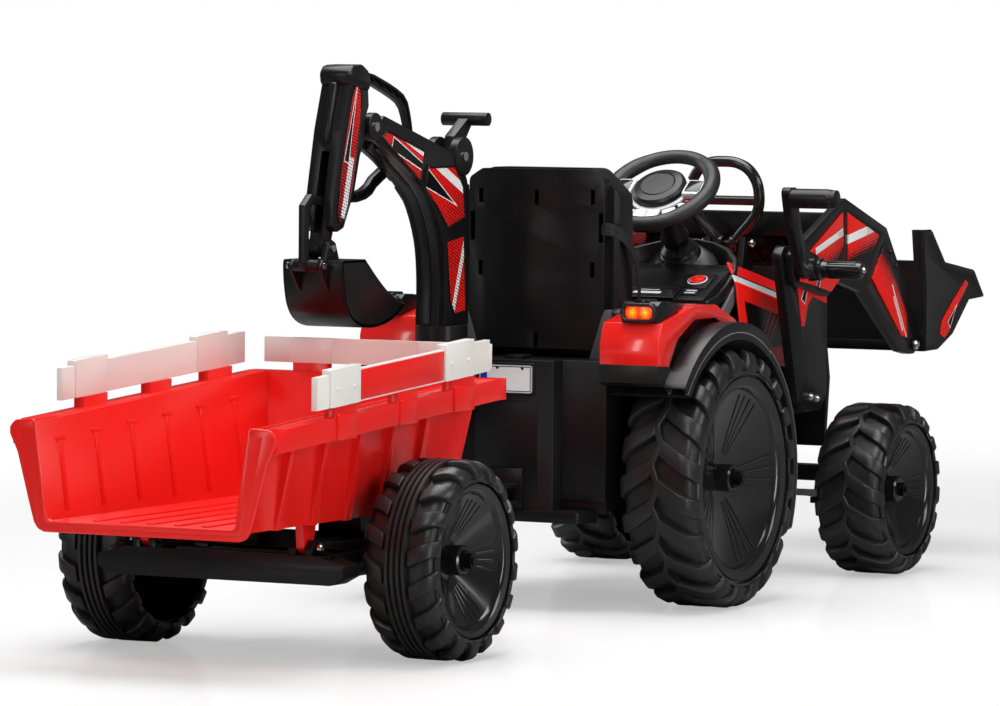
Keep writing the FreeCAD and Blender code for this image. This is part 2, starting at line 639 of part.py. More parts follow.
def make_front_axle():
    z = front_tyre_radius
    beam = box((wheelbase - 18, wheelbase + 18), (-kingpin_y, kingpin_y), (beam_bottom, beam_top))
    boss = rod((wheelbase, kingpin_y, beam_bottom), (wheelbase, kingpin_y, beam_top), 16)
    pin_way = rod((wheelbase, kingpin_y, beam_bottom - 1), (wheelbase, kingpin_y, beam_top + 1),
                  kingpin_radius + running_gap)
    nodes["front_axle_beam"] = cut(join(beam, boss, mirrored(boss)), pin_way, mirrored(pin_way))
    arm_low, arm_high = z - 24, z - 14
    block = rod((wheelbase, kingpin_y, arm_low), (wheelbase, kingpin_y, beam_bottom - 0.4), 15)
    kingpin = rod((wheelbase, kingpin_y, beam_bottom - 2), (wheelbase, kingpin_y, beam_top + 5),
                  kingpin_radius)
    hub_out = front_wheel_y + front_tyre_width / 2 - 20
    stub = across(wheelbase, z, kingpin_y, hub_out + side_gap + 12, stub_radius)
    nut = across(wheelbase, z, hub_out + side_gap, hub_out + side_gap + 8, stub_radius + 6)
    steering_arm = box((tie_rod_x - 8, wheelbase), (kingpin_y - 8, kingpin_y + 8), (arm_low, arm_high))
    ball = rod((tie_rod_x, kingpin_y, arm_high), (tie_rod_x, kingpin_y, arm_high + 18), 4)
    knuckle = join(block, kingpin, stub, nut, steering_arm, ball)
    nodes["knuckle_left"] = knuckle
    nodes["knuckle_right"] = mirrored(knuckle)
    rod_low, rod_high = arm_high + side_gap, arm_high + 11
    slack = 0.6
    swing_in = steer_arm * (1 - math.cos(math.radians(steer_limit)))
    end_eye = box((tie_rod_x - 12, tie_rod_x + 16), (kingpin_y - 11, kingpin_y + 11), (rod_low, rod_high))
    slot = box((tie_rod_x - 4 - slack, tie_rod_x + 4 + swing_in + slack),
               (kingpin_y - 4 - slack, kingpin_y + 4 + slack), (rod_low - 1, rod_high + 1))
    bar = box((tie_rod_x - 6, tie_rod_x + 8), (-kingpin_y, kingpin_y), (rod_low, rod_high))
    cheek_in = crank_pin_radius + 1.8
    pin_low = wheel_hub + shaft_axis * shaft_length + crank_axis * crank_radius
    cheek = plate([(tie_rod_x - 6, rod_low), (tie_rod_x + 8, rod_low), (wheelbase - 20, pin_low.z - 26),
                   (wheelbase - 20, pin_low.z - 8), (tie_rod_x - 2, pin_low.z - 8)], cheek_in, cheek_in + 5)
    tie = join(bar, end_eye, mirrored(end_eye), cheek, mirrored(cheek))
    nodes["tie_rod"] = cut(tie, slot, mirrored(slot))


def make_pedal():
    x, z = pedal_pivot
    right, left = pedal_y
    tread = plate([(x - 4, z - 4), (x + 6, z - 4), (x + 30, z + 62), (x + 22, z + 66)], right, left, 3)
    barrel = across(x, z, right, left, 6)
    nodes["accelerator_pedal"] = cut(join(tread, barrel), across(x, z, right - 1, left + 1,
                                                                 pedal_pin + running_gap))
    pin = across(x, z, right - 8, left + 8, pedal_pin)
    ears = [box((x - 6, x + 6), y, (foot_top, z + 6)) for y in ((right - 8, right - 2), (left + 2, left + 8))]
    nodes["floor_pan"] = join(nodes["floor_pan"], pin, *ears)


# ---- loader -----------------------------------------------------------------------------------
def make_loader():
    px, pz = lift_pivot
    post = plate([(370, 517), (442, 287), (469, post_foot_z + 4), (528, post_foot_z), (554, 289), (554, 447),
                  (478, 500), (440, 530), (385, 532)], post_inner, post_outer, 14)
    post_window = plate([(462, 320), (524, 320), (524, 434), (440, 484), (420, 470)], post_inner - 1,
                        post_outer - 5, 8)
    post = cut(post, post_window, across(px, pz, post_inner - 1, post_outer + 1, loader_pin))
    nodes["loader_posts"] = pair(post)
    arm = plate([(384, 520), (392, 470), (430, 466), (523, 448), (562, 471), (658, 451), (818, 348),
                 (858, 342),
                 (880, 342), (888, 352), (888, 398), (758, 552), (586, 604)], arm_inner, arm_outer, 9)
    windows = [[(452, 524), (574, 578), (578, 530), (548, 496)], [(598, 577), (721, 540), (674, 484),
                                                                  (602, 494)],
               [(700, 470), (745, 522), (838, 410), (844, 372), (824, 376)]]
    arm = cut(arm, *[plate(w, arm_inner - 1, arm_outer + 1, 5) for w in windows])
    bracket = plate([(434, 480), (482, 478), (482, 508), (434, 512)], arm_outer, arm_outer + lever_thickness,
                    5)
    arm = cut(arm, across(px, pz, arm_inner - 1, arm_outer + 1, loader_pin + running_gap),
              across(*dump_pivot, arm_inner - 1, arm_outer + 1, loader_pin + 0.01))
    beam = cut(box((612, 662), (-arm_inner, arm_inner), (540, 578)),
               box((618, 656), (-arm_inner + 8, arm_inner - 8), (546, 579)))
    right_arm = join(mirrored(arm), mirrored(bracket))
    pin = join(across(*dump_pivot, arm_inner - 22, arm_outer, loader_pin),
               across(*dump_pivot, arm_outer, arm_outer + 5, 9))
    nodes["loader_arms"] = Part.makeCompound([arm, right_arm, beam, pin, mirrored(pin)])
    nodes["lift_grip"] = mirrored(across(459, 494, arm_outer + lever_thickness, grip_end, 15))
    lever = plate([(333, 625), (366, 625), (384, 560), (424, 498), (410, 480), (392, 490), (352, 560)],
                  lever_inner, lever_outer, 9)
    lever = cut(join(lever, across(px, pz, lever_inner, lever_outer, 16)),
                across(px, pz, lever_inner - 1, lever_outer + 1, loader_pin + running_gap))
    nodes["dump_lever"] = mirrored(join(lever, across(350, 608, lever_outer, grip_end, 14)))


def make_loader_bucket():
    half, wall, back = bucket_half_width, bucket_wall, bucket_back
    side = [(back, 345), (back + 58, 346), (back + 118, 368), (back + 190, 424), (bucket_tip, 427),
            (back + 211, 474), (back + 83, 491), (back + 25, 546), (back - 16, 546), (back - 8, 500),
            (back, 450)]
    inner = [(back + wall, 345 + wall), (back + 56, 346 + wall), (back + 115, 368 + wall),
             (back + 188, 424 + wall + 1), (bucket_tip + 1, 427 + wall + 1),
             (bucket_tip + 1, 560), (back + wall, 560)]
    hull = plate(side, -half, half)
    hollow = plate(inner, -half + wall, half - wall)
    horn_gap = box((back - 20, back + 140), (-half + 40, half - 40), (495, 560))
    shell = cut(hull, hollow, horn_gap)
    upper_gap = box((back - 30, back - 0.5), (-half - 1, half + 1), (340, 448))
    shell = cut(shell, upper_gap)
    px, pz = dump_pivot
    ear = cut(join(plate([(back, 346), (back, 400), (px - 4, pz + 15), (px - 15, pz), (px, pz - 15)],
                         arm_inner - side_gap - 12, arm_inner - side_gap, 6)),
              across(px, pz, arm_inner - 30, arm_inner + 1, loader_pin + running_gap))
    nodes["loader_bucket"] = join(shell, ear, mirrored(ear))


def make_hoop():
    px, pz = hoop_pivot
    low = hoop_foot_half_width
    left_turns = [V(0, low, 0), V(0, low, 18), V(0, 36, 44), V(0, hoop_half_width, 78), V(0, 44,
                                                                                          hoop_height - 18),
                  V(0, 20, hoop_height)]
    turns = left_turns + [V(0, -p.y, p.z) for p in reversed(left_turns)]
    lean = math.radians(hoop_lean)
    points = [V(px - p.z * math.sin(lean), p.y, pz + p.z * math.cos(lean)) for p in turns]
    pieces = []
    for first, second in zip(points, points[1:]):
        pieces.append(Part.makeCylinder(hoop_tube, (second - first).Length, first, second - first))
    pieces += [Part.makeSphere(hoop_tube, p) for p in points[1:-1]]
    knuckles = [across(px, pz, y - 7, y + 7, 13) for y in (-low, low)]
    hoop = cut(join(*pieces, *knuckles), across(px, pz, -40, 40, hoop_pin + running_gap))
    nodes["hoop_handle"] = hoop
    top = hood_top_rear + (hood_top_front - hood_top_rear) * (px - hood_rear) / (hood_front - hood_rear)
    base = plate([(px - 30, top - 30), (px + 26, top - 30), (px + 12, pz + 10), (px - 12, pz + 10)], 26, 36)
    bridge = box((px - 28, px + 24), (-36, 36), (top - 4, top + 10))
    bracket = join(base, mirrored(base), bridge, across(px, pz, -42, 42, hoop_pin))
    hood_block = loft([hood_section(hood_rear, hood_low_rear, hood_top_rear, 0, 136, 128, 104),
                       hood_section(hood_front, hood_low_front, hood_top_front, 0, 122, 112, 88)])
    nodes["hoop_bracket"] = cut(bracket, hood_block)


# ---- digger -----------------------------------------------------------------------------------
def make_digger():
    y0, y1 = boom_right, boom_left
    pedestal = join(box((swing_x - 46, column_rear), (46, 134), (300, 396)),
                    box((column_rear, body_rear), (column_half_width, 134), (300, 372)))
    pedestal = cut(pedestal, box((swing_x - 40, column_rear - 6), (52, 128), (290, 388)))
    disc = rod((swing_x, digger_y, 396), (swing_x, digger_y, 400), 40)
    post = rod((swing_x, digger_y, 396), (swing_x, digger_y, swing_height + 28), swing_post_radius)
    nodes["digger_pedestal"] = join(pedestal, disc, post)
    side = [(-282, swing_height), (-279, 480), (-286, 538), (-303, 590), (-349, 636), (-427, 673),
            (-490, 700),
            (-521, 716), (-512, 740), (-474, 735), (-428, 704), (-340, 688), (-293, 703), (-226, 701),
            (-200, 676), (-203, 600), (-206, 476), (-207, swing_height)]
    boom = plate(side, y0, y1, 14)
    foot = rod((swing_x, digger_y, 401), (swing_x, digger_y, swing_height), 39)
    tip = across(*elbow, y0, y1, elbow_radius)
    fork_gap = box((-540, elbow[0] + 26), (y0 + 11, y1 - 11), (680, 760))
    lever_gap = plate([(-262, 640), (-262, 720), (-190, 720), (-190, 640)], digger_y - 14, digger_y + 14)
    hollow = plate([(-270, 500), (-275, 540), (-292, 582), (-340, 625), (-420, 660), (-455, 678), (-445, 690),
                    (-345, 672), (-290, 660), (-280, 636), (-226, 628), (-214, 590), (-216, 500)],
                   y0 + boom_wall, y1 - boom_wall, 8)
    well = rod((swing_x, digger_y, 400), (swing_x, digger_y, swing_height + 30),
               swing_post_radius + running_gap)
    boom = cut(join(boom, foot, tip), fork_gap, lever_gap, hollow, well,
               across(*elbow, y0 - 1, y1 + 1, digger_pin + 0.01), across(*lever_pivot, y0 - 1, y1 + 1,
                                                                         digger_pin + 0.01))
    nodes["boom"] = Part.makeCompound([boom, across(*elbow, y0 - 3, y1 + 3, digger_pin),
                                       across(*lever_pivot, y0 - 3, y1 + 3, digger_pin)])
    lx, lz = lever_pivot
    lever = join(across(lx, lz, digger_y - 12, digger_y + 12, 12),
                 plate([(lx - 9, lz), (lx + 9, lz), (lx + 59, 728), (lx + 45, 734), (lx - 2, lz + 34)],
                       digger_y - 8, digger_y + 8, 4),
                 across(lx + 51, 731, digger_y - 38, digger_y + 38, 10))
    nodes["boom_lever"] = cut(lever, across(lx, lz, digger_y - 30, digger_y + 30, digger_pin + running_gap))
    make_stick()


def make_stick():
    y0, y1 = digger_y - stick_half_width, digger_y + stick_half_width
    ex, ez = elbow
    sx, sz = scoop_pivot
    side = [(-571, 797), (-556, 808), (-538, 808), (-523, 795), (-519, 752), (-529, 735), (-531, 705),
            (-545, 680), (-560, 632), (-592, 578), (-612, 572), (-626, 580), (-621, 619), (-598, 718)]
    stick = plate(side, y0, y1, 6)
    tongue = join(across(ex, ez, digger_y - 13, digger_y + 13, 16),
                  plate([(-540, 740), (ex, ez + 15), (ex, ez - 15), (-545, 700)], digger_y - 13,
                        digger_y + 13),
                  across(sx, sz, digger_y - 11, digger_y + 11, 13),
                  plate([(-625, 590), (sx - 12, sz), (sx + 12, sz), (-596, 590)], digger_y - 11,
                        digger_y + 11))
    slot = plate([(-640, 566), (-640, 672), (-600, 690), (-580, 680), (-594, 600), (-598, 580)],
                 digger_y - 6.5, digger_y + 6.5)
    stick = cut(join(stick, tongue), slot, across(ex, ez, y0, y1, digger_pin + running_gap),
                across(sx, sz, y0, y1, digger_pin + 0.01))
    guard_path = [(-528, 800), (-447, 790), (-394, 771), (-374, 738), (-366, 690), (-420, 640), (-478, 622),
                  (-548, 626)]
    guard_in = [(-530, 785), (-452, 776), (-405, 760), (-388, 732), (-381, 697), (-427, 653), (-482, 636),
                (-548, 640)]
    guard = plate(guard_path + guard_in[::-1], boom_left + 2, boom_left + 13)
    lug_top = plate([(-560, 800), (-528, 800), (-530, 785), (-560, 785)], y1, boom_left + 13)
    lug_low = plate([(-548, 640), (-548, 626), (-572, 626), (-560, 640)], y1, boom_left + 13)
    scoop_pin = across(sx, sz, digger_y - 24, digger_y + 24, digger_pin)
    nodes["stick"] = Part.makeCompound([join(stick, guard, lug_top, lug_low), scoop_pin])
    make_scoop()


def make_scoop():
    sx, sz = scoop_pivot
    lx, lz = scoop_link_pivot
    half = scoop_width / 2
    y0, y1 = digger_y - half, digger_y + half
    wall = scoop_wall
    outer = [(-641, 533), (-636, 490), (-618, 456), (-590, 439), (-550, 434), (-492, 441), (-450, 464),
             (-492, 480), (-530, 502), (-572, 533)]
    inner = [(-572, 529), (-637 + wall, 529), (-632 + wall, 491), (-615 + wall, 459), (-588, 439 + wall),
             (-550, 434 + wall), (-494, 441 + wall), (-448, 466), (-440, 560), (-560, 560)]
    shell = cut(plate(outer, y0, y1), plate(inner, y0 + wall, y1 - wall))
    lugs = []
    for low, high in ((digger_y - 21, digger_y - 12), (digger_y + 12, digger_y + 21)):
        lugs.append(plate([(-646, 520), (sx - 11, sz + 8), (sx, sz + 13), (sx + 11, sz + 8), (-600, 533),
                           (-600, 530), (-636, 530)], low, high, 3))
    for low, high in ((digger_y - 26, digger_y - 21), (digger_y + 21, digger_y + 26)):
        lugs.append(plate([(-637, 533), (lx, lz + 9), (lx - 9, lz), (lx - 4, lz - 9), (-634, 495)], low,
                          high, 2))
    scoop = join(shell, *lugs)
    scoop = cut(scoop, across(sx, sz, y0, y1, digger_pin + running_gap), across(lx, lz, y0, y1,
                                                                                digger_pin + 0.01))
    nodes["digger_bucket"] = Part.makeCompound([scoop, across(lx, lz, digger_y - 29, digger_y + 29,
                                                              digger_pin)])
    link = plate([(lx - 8, lz - 8), (lx + 6, lz - 8), (lx + 7, lz + 6), (lx - 4, lz + 10), (lx - 4, 604),
                  (lx + 8, 613), (-614, 609), (-614, 621), (lx + 4, 627), (lx - 17, 611), (lx - 17, lz + 4)],
                 digger_y - 5, digger_y + 5, 3)
    yoke = across(lx, lz, digger_y - 20, digger_y + 20, 9)
    nodes["scoop_link"] = cut(join(link, yoke), across(lx, lz, y0, y1, digger_pin + running_gap))


# ---- trailer ----------------------------------------------------------------------------------
def make_hitch():
    back = box((column_rear - 6, column_rear), (-30, 30), (plate_bottom + 2, plate_bottom + 62))
    low = box((hitch_x - 18, column_rear - 6), (-22, 22), (drawbar_low - 8, drawbar_low - 2))
    high = box((hitch_x - 18, column_rear - 6), (-22, 22), (drawbar_high + 2, drawbar_high + 8))
    pin = rod((hitch_x, 0, drawbar_low - 16), (hitch_x, 0, drawbar_high + 12), hitch_pin_radius)
    head = rod((hitch_x, 0, drawbar_high + 12), (hitch_x, 0, drawbar_high + 18), hitch_pin_radius + 5)
    nodes["hitch"] = join(back, low, high, pin, head)


def make_trailer_frame():
    half, axle_z = frame_half_width, trailer_tyre_radius
    rear, front = tip_pivot[0] - 14, tub_front - 54
    tray = box((rear, front), (-half, half), (axle_z - 22, axle_z + 12))
    tray = cut(tray, box((rear + 5, front - 5), (-half + 5, half - 5), (axle_z - 17, axle_z + 13)))
    bumper = panel([(-172, 113), (172, 113), (192, 124), (192, 140), (150, 152), (-150, 152), (-192, 140),
                    (-192, 124)],
                   rear - 6, rear + 40, 3)
    bumper_room = panel([(-164, 118), (164, 118), (182, 128), (182, 136), (146, 160), (-146, 160),
                         (-182, 136), (-182, 128)], rear - 2, rear + 36, 2)
    bumper = cut(bumper, bumper_room)
    bearing = across(trailer_axle_x, axle_z, half - 30, half, axle_radius + 8)
    bearing_web = box((trailer_axle_x - 10, trailer_axle_x + 10), (half - 30, half), (axle_z - 20, axle_z))
    bar = slab([(front - 40, -34), (front + 60, -20), (hitch_x - 4, -16), (hitch_x + 18, -12),
                (hitch_x + 18, 12),
                (hitch_x - 4, 16), (front + 60, 20), (front - 40, 34)], drawbar_low, drawbar_high, 8)
    riser = box((front - 40, front), (-34, 34), (axle_z + 8, drawbar_high))
    px, pz = tip_pivot
    ear_shape = plate([(px - 13, axle_z + 6), (px - 13, pz), (px, pz + 13), (px + 13, pz),
                       (px + 13, axle_z + 6)],
                      104, 115, 6)
    ear_out = moved(ear_shape, 0, 25, 0)
    floor_strip = box((rear + 2, rear + 34), (100, 146), (axle_z + 6, axle_z + 11))
    ears = [ear_shape, ear_out, floor_strip]
    frame = join(tray, bumper, bearing, mirrored(bearing), bearing_web, mirrored(bearing_web), bar, riser,
                 *ears,
                 *[mirrored(e) for e in ears])
    frame = cut(frame, across(trailer_axle_x, axle_z, -half - 1, half + 1, axle_radius + 0.01),
                rod((hitch_x, 0, drawbar_low - 1), (hitch_x, 0, drawbar_high + 1),
                    hitch_pin_radius + running_gap),
                across(px, pz, -150, 150, tip_pin_radius + 0.01))
    nodes["trailer_axle"] = axle_with_nuts(trailer_axle_x, axle_z, trailer_wheel_y, trailer_tyre_width, 20)
    tip_pin = across(px, pz, 100, 145, tip_pin_radius)
    nodes["trailer_frame"] = Part.makeCompound([frame, tip_pin, mirrored(tip_pin)])


def lip_top(x):
    return lip_rear_z + (lip_front_z - lip_rear_z) * (x - tub_rear) / (tub_front - tub_rear)


def rail_low(x):
    return lip_top(x) + rail_rise


def make_tub():
    wall, floor_z = tub_wall, tub_floor
    rear, front = tub_rear, tub_front
    flat, wide = floor_half_width, lip_half_width - lip_width

    def section(x, z_top, inset, z_floor):
        return [V(x, -flat + inset, z_floor), V(x, -wide + inset, z_top), V(x, wide - inset, z_top),
                V(x, flat - inset, z_floor)]

    lip_z = lip_top(front) + 40
    outer = loft([section(rear, lip_z, 0, floor_z), section(front, lip_z, 0, floor_z)])
    inner = loft([section(rear - 1, lip_z + 1, wall, floor_z + wall),
                  section(front - wall, lip_z + 1, wall, floor_z + wall)])
    shell = cut(outer, inner)
    rake_front = plate([(front - 60, floor_z - 1), (front + 1, floor_z - 1), (front + 1, lip_top(front) + 50),
                        (front, lip_top(front) + 50), (front - 36, floor_z + 30)], -300, 300)
    front_wall = plate([(front - 36, floor_z + 28), (front - 56, floor_z), (front - 62, floor_z),
                        (front - 42, floor_z + 30),
                        (front - wall, lip_top(front)), (front, lip_top(front))], -wide, wide)
    tub_room = loft([section(rear - 1, lip_z + 1, 0, floor_z), section(front + 1, lip_z + 1, 0, floor_z)])
    above = plate([(rear - 2, lip_top(rear)), (front + 2, lip_top(front)), (front + 2, 500), (rear - 2, 500)],
                  -300, 300)
    body = cut(join(cut(shell, rake_front), front_wall.common(tub_room)), above)
    side_lip = plate([(rear + 8, lip_top(rear) - lip_depth), (rear + 30, lip_top(rear + 30)),
                      (front, lip_top(front)),
                      (front, lip_top(front) - lip_depth)], wide - 3, lip_half_width)
    under = plate([(rear + 5, lip_top(rear) - lip_depth - 5), (rear + 30, lip_top(rear + 30) - wall),
                   (front + 1, lip_top(front) - wall), (front + 1, lip_top(front) - lip_depth - 1)],
                  wide - 4, lip_half_width - wall)
    side_lip = cut(side_lip, under)
    front_lip = box((front - 3, front + 22), (-lip_half_width, lip_half_width),
                    (lip_top(front) - lip_depth, lip_top(front)))
    front_lip = cut(front_lip,
                    box((front - 4, front + 22 - wall), (-lip_half_width + wall, lip_half_width - wall),
                                   (lip_top(front) - lip_depth - 1, lip_top(front) - wall)))
    lips = [side_lip, mirrored(side_lip), front_lip]
    rim_bar = loft([section(rear, lip_top(rear) - 8, -8, floor_z - 2),
                    section(rear + 12, lip_top(rear) - 8, -8, floor_z - 2)])
    rim_room = loft([section(rear - 1, lip_z + 1, wall, floor_z + wall),
                     section(rear + 13, lip_z + 1, wall, floor_z + wall)])
    rim_bar = cut(rim_bar, rim_room)
    ribs = []
    for x in (rear + 95, rear + 190, rear + 285, rear + 380, rear + 475):
        rib = loft([section(x, lip_top(x) - 12, -4, floor_z - 1), section(x + 16, lip_top(x) - 12, -4,
                                                                          floor_z - 1)])
        ribs.append(cut(rib, loft([section(x - 1, lip_z + 1, wall - 2, floor_z + wall - 2),
                                   section(x + 17, lip_z + 1, wall - 2, floor_z + wall - 2)])))
    posts = []
    for x_low, x_high in side_posts:
        posts.append(plate([(x_low, lip_top(x_low) - 2), (x_low, rail_low(x_low)), (x_high, rail_low(x_high)),
                            (x_high, lip_top(x_high) - 2)], rail_outer - rail_thickness - 4, lip_half_width))
    for y in front_posts:
        posts.append(box((front + 6, front + 20), (y - 28, y + 28), (lip_top(front) - 2, front_rail_low)))
    px, pz = tip_pivot
    lug = cut(plate([(px - 16, floor_z + 2), (px - 12, pz), (px, pz - 12), (px + 12, pz),
                     (px + 22, floor_z + 2)],
                    116, 128, 5), across(px, pz, 100, 140, tip_pin_radius + running_gap))
    both = [mirrored(p) for p in posts[:len(side_posts)]]
    nodes["trailer_tub"] = join(body, *lips, rim_bar, *ribs, *posts, *both, lug, mirrored(lug))


def make_rails():
    rear, front = tub_rear + rail_rear_inset, tub_front - rail_front_inset
    y_high = rail_outer
    y_low = rail_outer - rail_thickness + 2
    slat = plate([(rear, rail_low(rear)), (front, rail_low(front)), (front, rail_low(front) + rail_height),
                  (rear, rail_low(rear) + rail_height)], y_low, y_high - 3)
    blocks = []
    for x_low, x_high in rail_blocks:
        low, high = rail_low(x_low), rail_low(x_high)
        blocks.append(plate([(x_low, low), (x_high, high), (x_high, high + rail_height + 7),
                             (x_low, low + rail_height + 7)], y_low - 2, y_high, 2))
    side = join(slat, *blocks)
    x_in = tub_front + 9.0
    x_out = x_in + 9.0
    cross = box((x_in, x_out), (-182, 182), (front_rail_low, front_rail_high))
    caps = [box((x_in - 2, x_out + 2), (y - 34, y + 34),
                (front_rail_low, front_rail_high)) for y in front_posts]
    nodes["tub_rails"] = Part.makeCompound([side, mirrored(side), join(cross, *caps)])


# ---- fasteners --------------------------------------------------------------------------------
def make_fasteners():
    """Pivot pins and bolts that stay with the tractor body."""
    px, pz = lift_pivot
    pivot = join(across(px, pz, post_inner - 4, lever_outer + side_gap, loader_pin),
                 across(px, pz, lever_outer + side_gap, lever_outer + side_gap + 4, 9))
    bolts = [across(x, z, post_outer, post_outer + 4, 7) for x, z in ((484.0, 290.0), (508.0, 286.0))]
    pieces = [pivot] + bolts
    nodes["pivot_bolts"] = Part.makeCompound(pieces + [mirrored(piece) for piece in pieces])


def build():
    make_floor()
    make_body()
    make_drive()
    make_seat()
    make_belt()
    make_fenders()
    make_flares()
    make_lamps()
    make_console()
    make_hood()
    make_steering()
    make_front_axle()
    make_pedal()
    make_wheels()
    make_loader()
    make_loader_bucket()
    make_hoop()
    make_digger()
    make_hitch()
    make_trailer_frame()
    make_tub()
    make_rails()
    make_fasteners()


build()
os.makedirs("parts", exist_ok=True)
for name, shape in nodes.items():
    placed = moved(shape, -origin_x, 0, 0)
    placed.exportStep(f"parts/{name}.step")
print(len(nodes), "nodes")
for name, shape in nodes.items():
    if not shape.isValid():
        print("not valid:", name)
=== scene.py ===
# %% [markdown]
# A child's battery tractor with a loader, a digger and a trailer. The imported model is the
# skeleton: it says where every piece is and what it moves with. This lesson puts the skin on it.

# %% Load the frame
import json
import math

import bpy
from mathutils import Matrix, Vector

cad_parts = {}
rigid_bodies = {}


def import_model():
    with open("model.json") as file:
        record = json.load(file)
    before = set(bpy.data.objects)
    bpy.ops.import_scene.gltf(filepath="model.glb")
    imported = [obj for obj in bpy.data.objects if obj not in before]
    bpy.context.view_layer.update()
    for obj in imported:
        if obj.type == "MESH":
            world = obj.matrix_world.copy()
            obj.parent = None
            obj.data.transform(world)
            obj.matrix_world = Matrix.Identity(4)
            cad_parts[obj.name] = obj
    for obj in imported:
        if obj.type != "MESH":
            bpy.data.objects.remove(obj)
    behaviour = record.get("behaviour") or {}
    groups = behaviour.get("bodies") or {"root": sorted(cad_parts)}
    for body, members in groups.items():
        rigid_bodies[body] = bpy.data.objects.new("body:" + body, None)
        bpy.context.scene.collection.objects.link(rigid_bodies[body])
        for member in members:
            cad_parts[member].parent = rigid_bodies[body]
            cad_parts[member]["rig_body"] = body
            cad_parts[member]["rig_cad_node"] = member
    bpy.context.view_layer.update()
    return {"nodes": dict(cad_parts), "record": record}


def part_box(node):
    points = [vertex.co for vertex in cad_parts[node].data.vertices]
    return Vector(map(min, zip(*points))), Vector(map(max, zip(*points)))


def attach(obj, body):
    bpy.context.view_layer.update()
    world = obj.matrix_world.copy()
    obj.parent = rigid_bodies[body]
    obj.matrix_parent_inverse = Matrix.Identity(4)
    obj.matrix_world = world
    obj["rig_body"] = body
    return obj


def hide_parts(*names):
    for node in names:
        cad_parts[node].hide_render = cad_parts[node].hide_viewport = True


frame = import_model()
MM = 0.001
BODIES = frame["record"]["behaviour"]["bodies"]
BODY_OF = {node: body for body, members in BODIES.items() for node in members}
AXLE_X = sum(corner.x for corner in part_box("rear_axle")) / 2
print(len(frame["nodes"]), "pieces on", len(BODIES), "bodies, rear axle at x =", round(AXLE_X, 3))


def at(x, y, z):
    """A point given in millimetres from the rear axle, the middle plane and the ground."""
    return Vector((AXLE_X + x * MM, y * MM, z * MM))


# %% [markdown]
# ## Modelling helpers
# Every new piece starts as a primitive that an operator then shapes. An operator acts on all that
# is selected, so everything is deselected first and only the wanted piece is picked.

# %% Selecting and naming
def only(*pieces):
    if bpy.context.object and bpy.context.object.mode != "OBJECT":
        bpy.ops.object.mode_set(mode="OBJECT")
    bpy.ops.object.select_all(action="DESELECT")
    for piece in pieces:
        piece.select_set(True)
        bpy.context.view_layer.objects.active = piece


def named(name):
    piece = bpy.context.object
    piece.name = piece.data.name = name
    return piece


print("helpers: only, named")

# %% [markdown]
# A finished piece keeps its place in its mesh, so its move, turn and scale are applied. Spun and
# mirrored shapes can be inside out: doubles are merged and the faces are turned outwards. Real
# mouldings have no knife edges, so nearly every edge gets a small bevel that catches the light.

# %% Settling, turning faces outwards, rounding
def settle(piece):
    """Puts the piece's place, turn and scale into its mesh."""
    only(piece)
    bpy.ops.object.transform_apply(location=True, rotation=True, scale=True)
    return piece


def edited(piece, operator, **settings):
    """Runs one edit-mode operator on the whole mesh."""
    only(piece)
    bpy.ops.object.mode_set(mode="EDIT")
    bpy.ops.mesh.select_all(action="SELECT")
    operator(**settings)
    bpy.ops.object.mode_set(mode="OBJECT")
    return piece


def modified(piece, kind, **settings):
    """Adds a modifier with its settings and applies it."""
    only(piece)
    modifier = piece.modifiers.new(kind.title(), kind)
    for key, value in settings.items():
        setattr(modifier, key, value)
    bpy.ops.object.modifier_apply(modifier=modifier.name)
    return piece


def outward(piece):
    """Merges doubled corners and turns every face outwards."""
    only(piece)
    bpy.ops.object.mode_set(mode="EDIT")
    bpy.ops.mesh.select_all(action="SELECT")
    bpy.ops.mesh.remove_doubles(threshold=1e-5)
    bpy.ops.mesh.normals_make_consistent(inside=False)
    bpy.ops.object.mode_set(mode="OBJECT")
    return piece


def rounded(piece, width, segments=2, angle=30, smooth=35):
    """Bevels the sharp edges, applies that and shades the rest smooth."""
    only(piece)
    if width > 0:
        modified(piece, "BEVEL", width=width * MM, segments=segments, limit_method="ANGLE",
                 angle_limit=math.radians(angle), use_clamp_overlap=True)
    bpy.ops.object.shade_smooth_by_angle(angle=math.radians(smooth))
    return piece


print("helpers: settle, edited, modified, outward, rounded")

# %% [markdown]
# What repeats, such as a lug or a bolt, is modelled once and copied. Each copy has its own mesh,
# so the pieces of one shell can be joined into a single object afterwards.

# %% Joining and copying
def removed(*models):
    only(*models)
    bpy.ops.object.delete()


def joined(name, pieces):
    """One object from several; it takes the place of the first."""
    only(*pieces)
    bpy.ops.object.join()
    return named(name)


def copied(piece, name, matrix):
    """A copy with its own mesh, moved by the matrix; a mirroring matrix turns the faces back out."""
    only(piece)
    bpy.ops.object.duplicate()
    copy = named(name)
    copy.data.transform(matrix)
    if matrix.determinant() < 0:
        copy.data.flip_normals()
    return copy


MIRROR = Matrix.Scale(-1, 4, Vector((0, 1, 0)))
print("helpers: removed, joined, copied; the mirror swaps left and right")

# %% [markdown]
# Two ways of making a shape cover most of the object. A side outline is a filled circle whose
# corners are moved to their places and then extruded. A wheel or a knob is an open circle moved
# into the shape of its section and then spun round the axle.

# %% Blocks and outlines
def block(name, low, high, width=0.0):
    only()
    bpy.ops.mesh.primitive_cube_add(size=1, location=(low + high) / 2)
    piece = named(name)
    piece.scale = high - low
    return rounded(settle(piece), width)


def set_outline(name, corners, fill):
    only()
    bpy.ops.mesh.primitive_circle_add(vertices=len(corners), radius=1, fill_type=fill)
    piece = named(name)
    for vertex, corner in zip(piece.data.vertices, corners):
        vertex.co = corner
    return piece


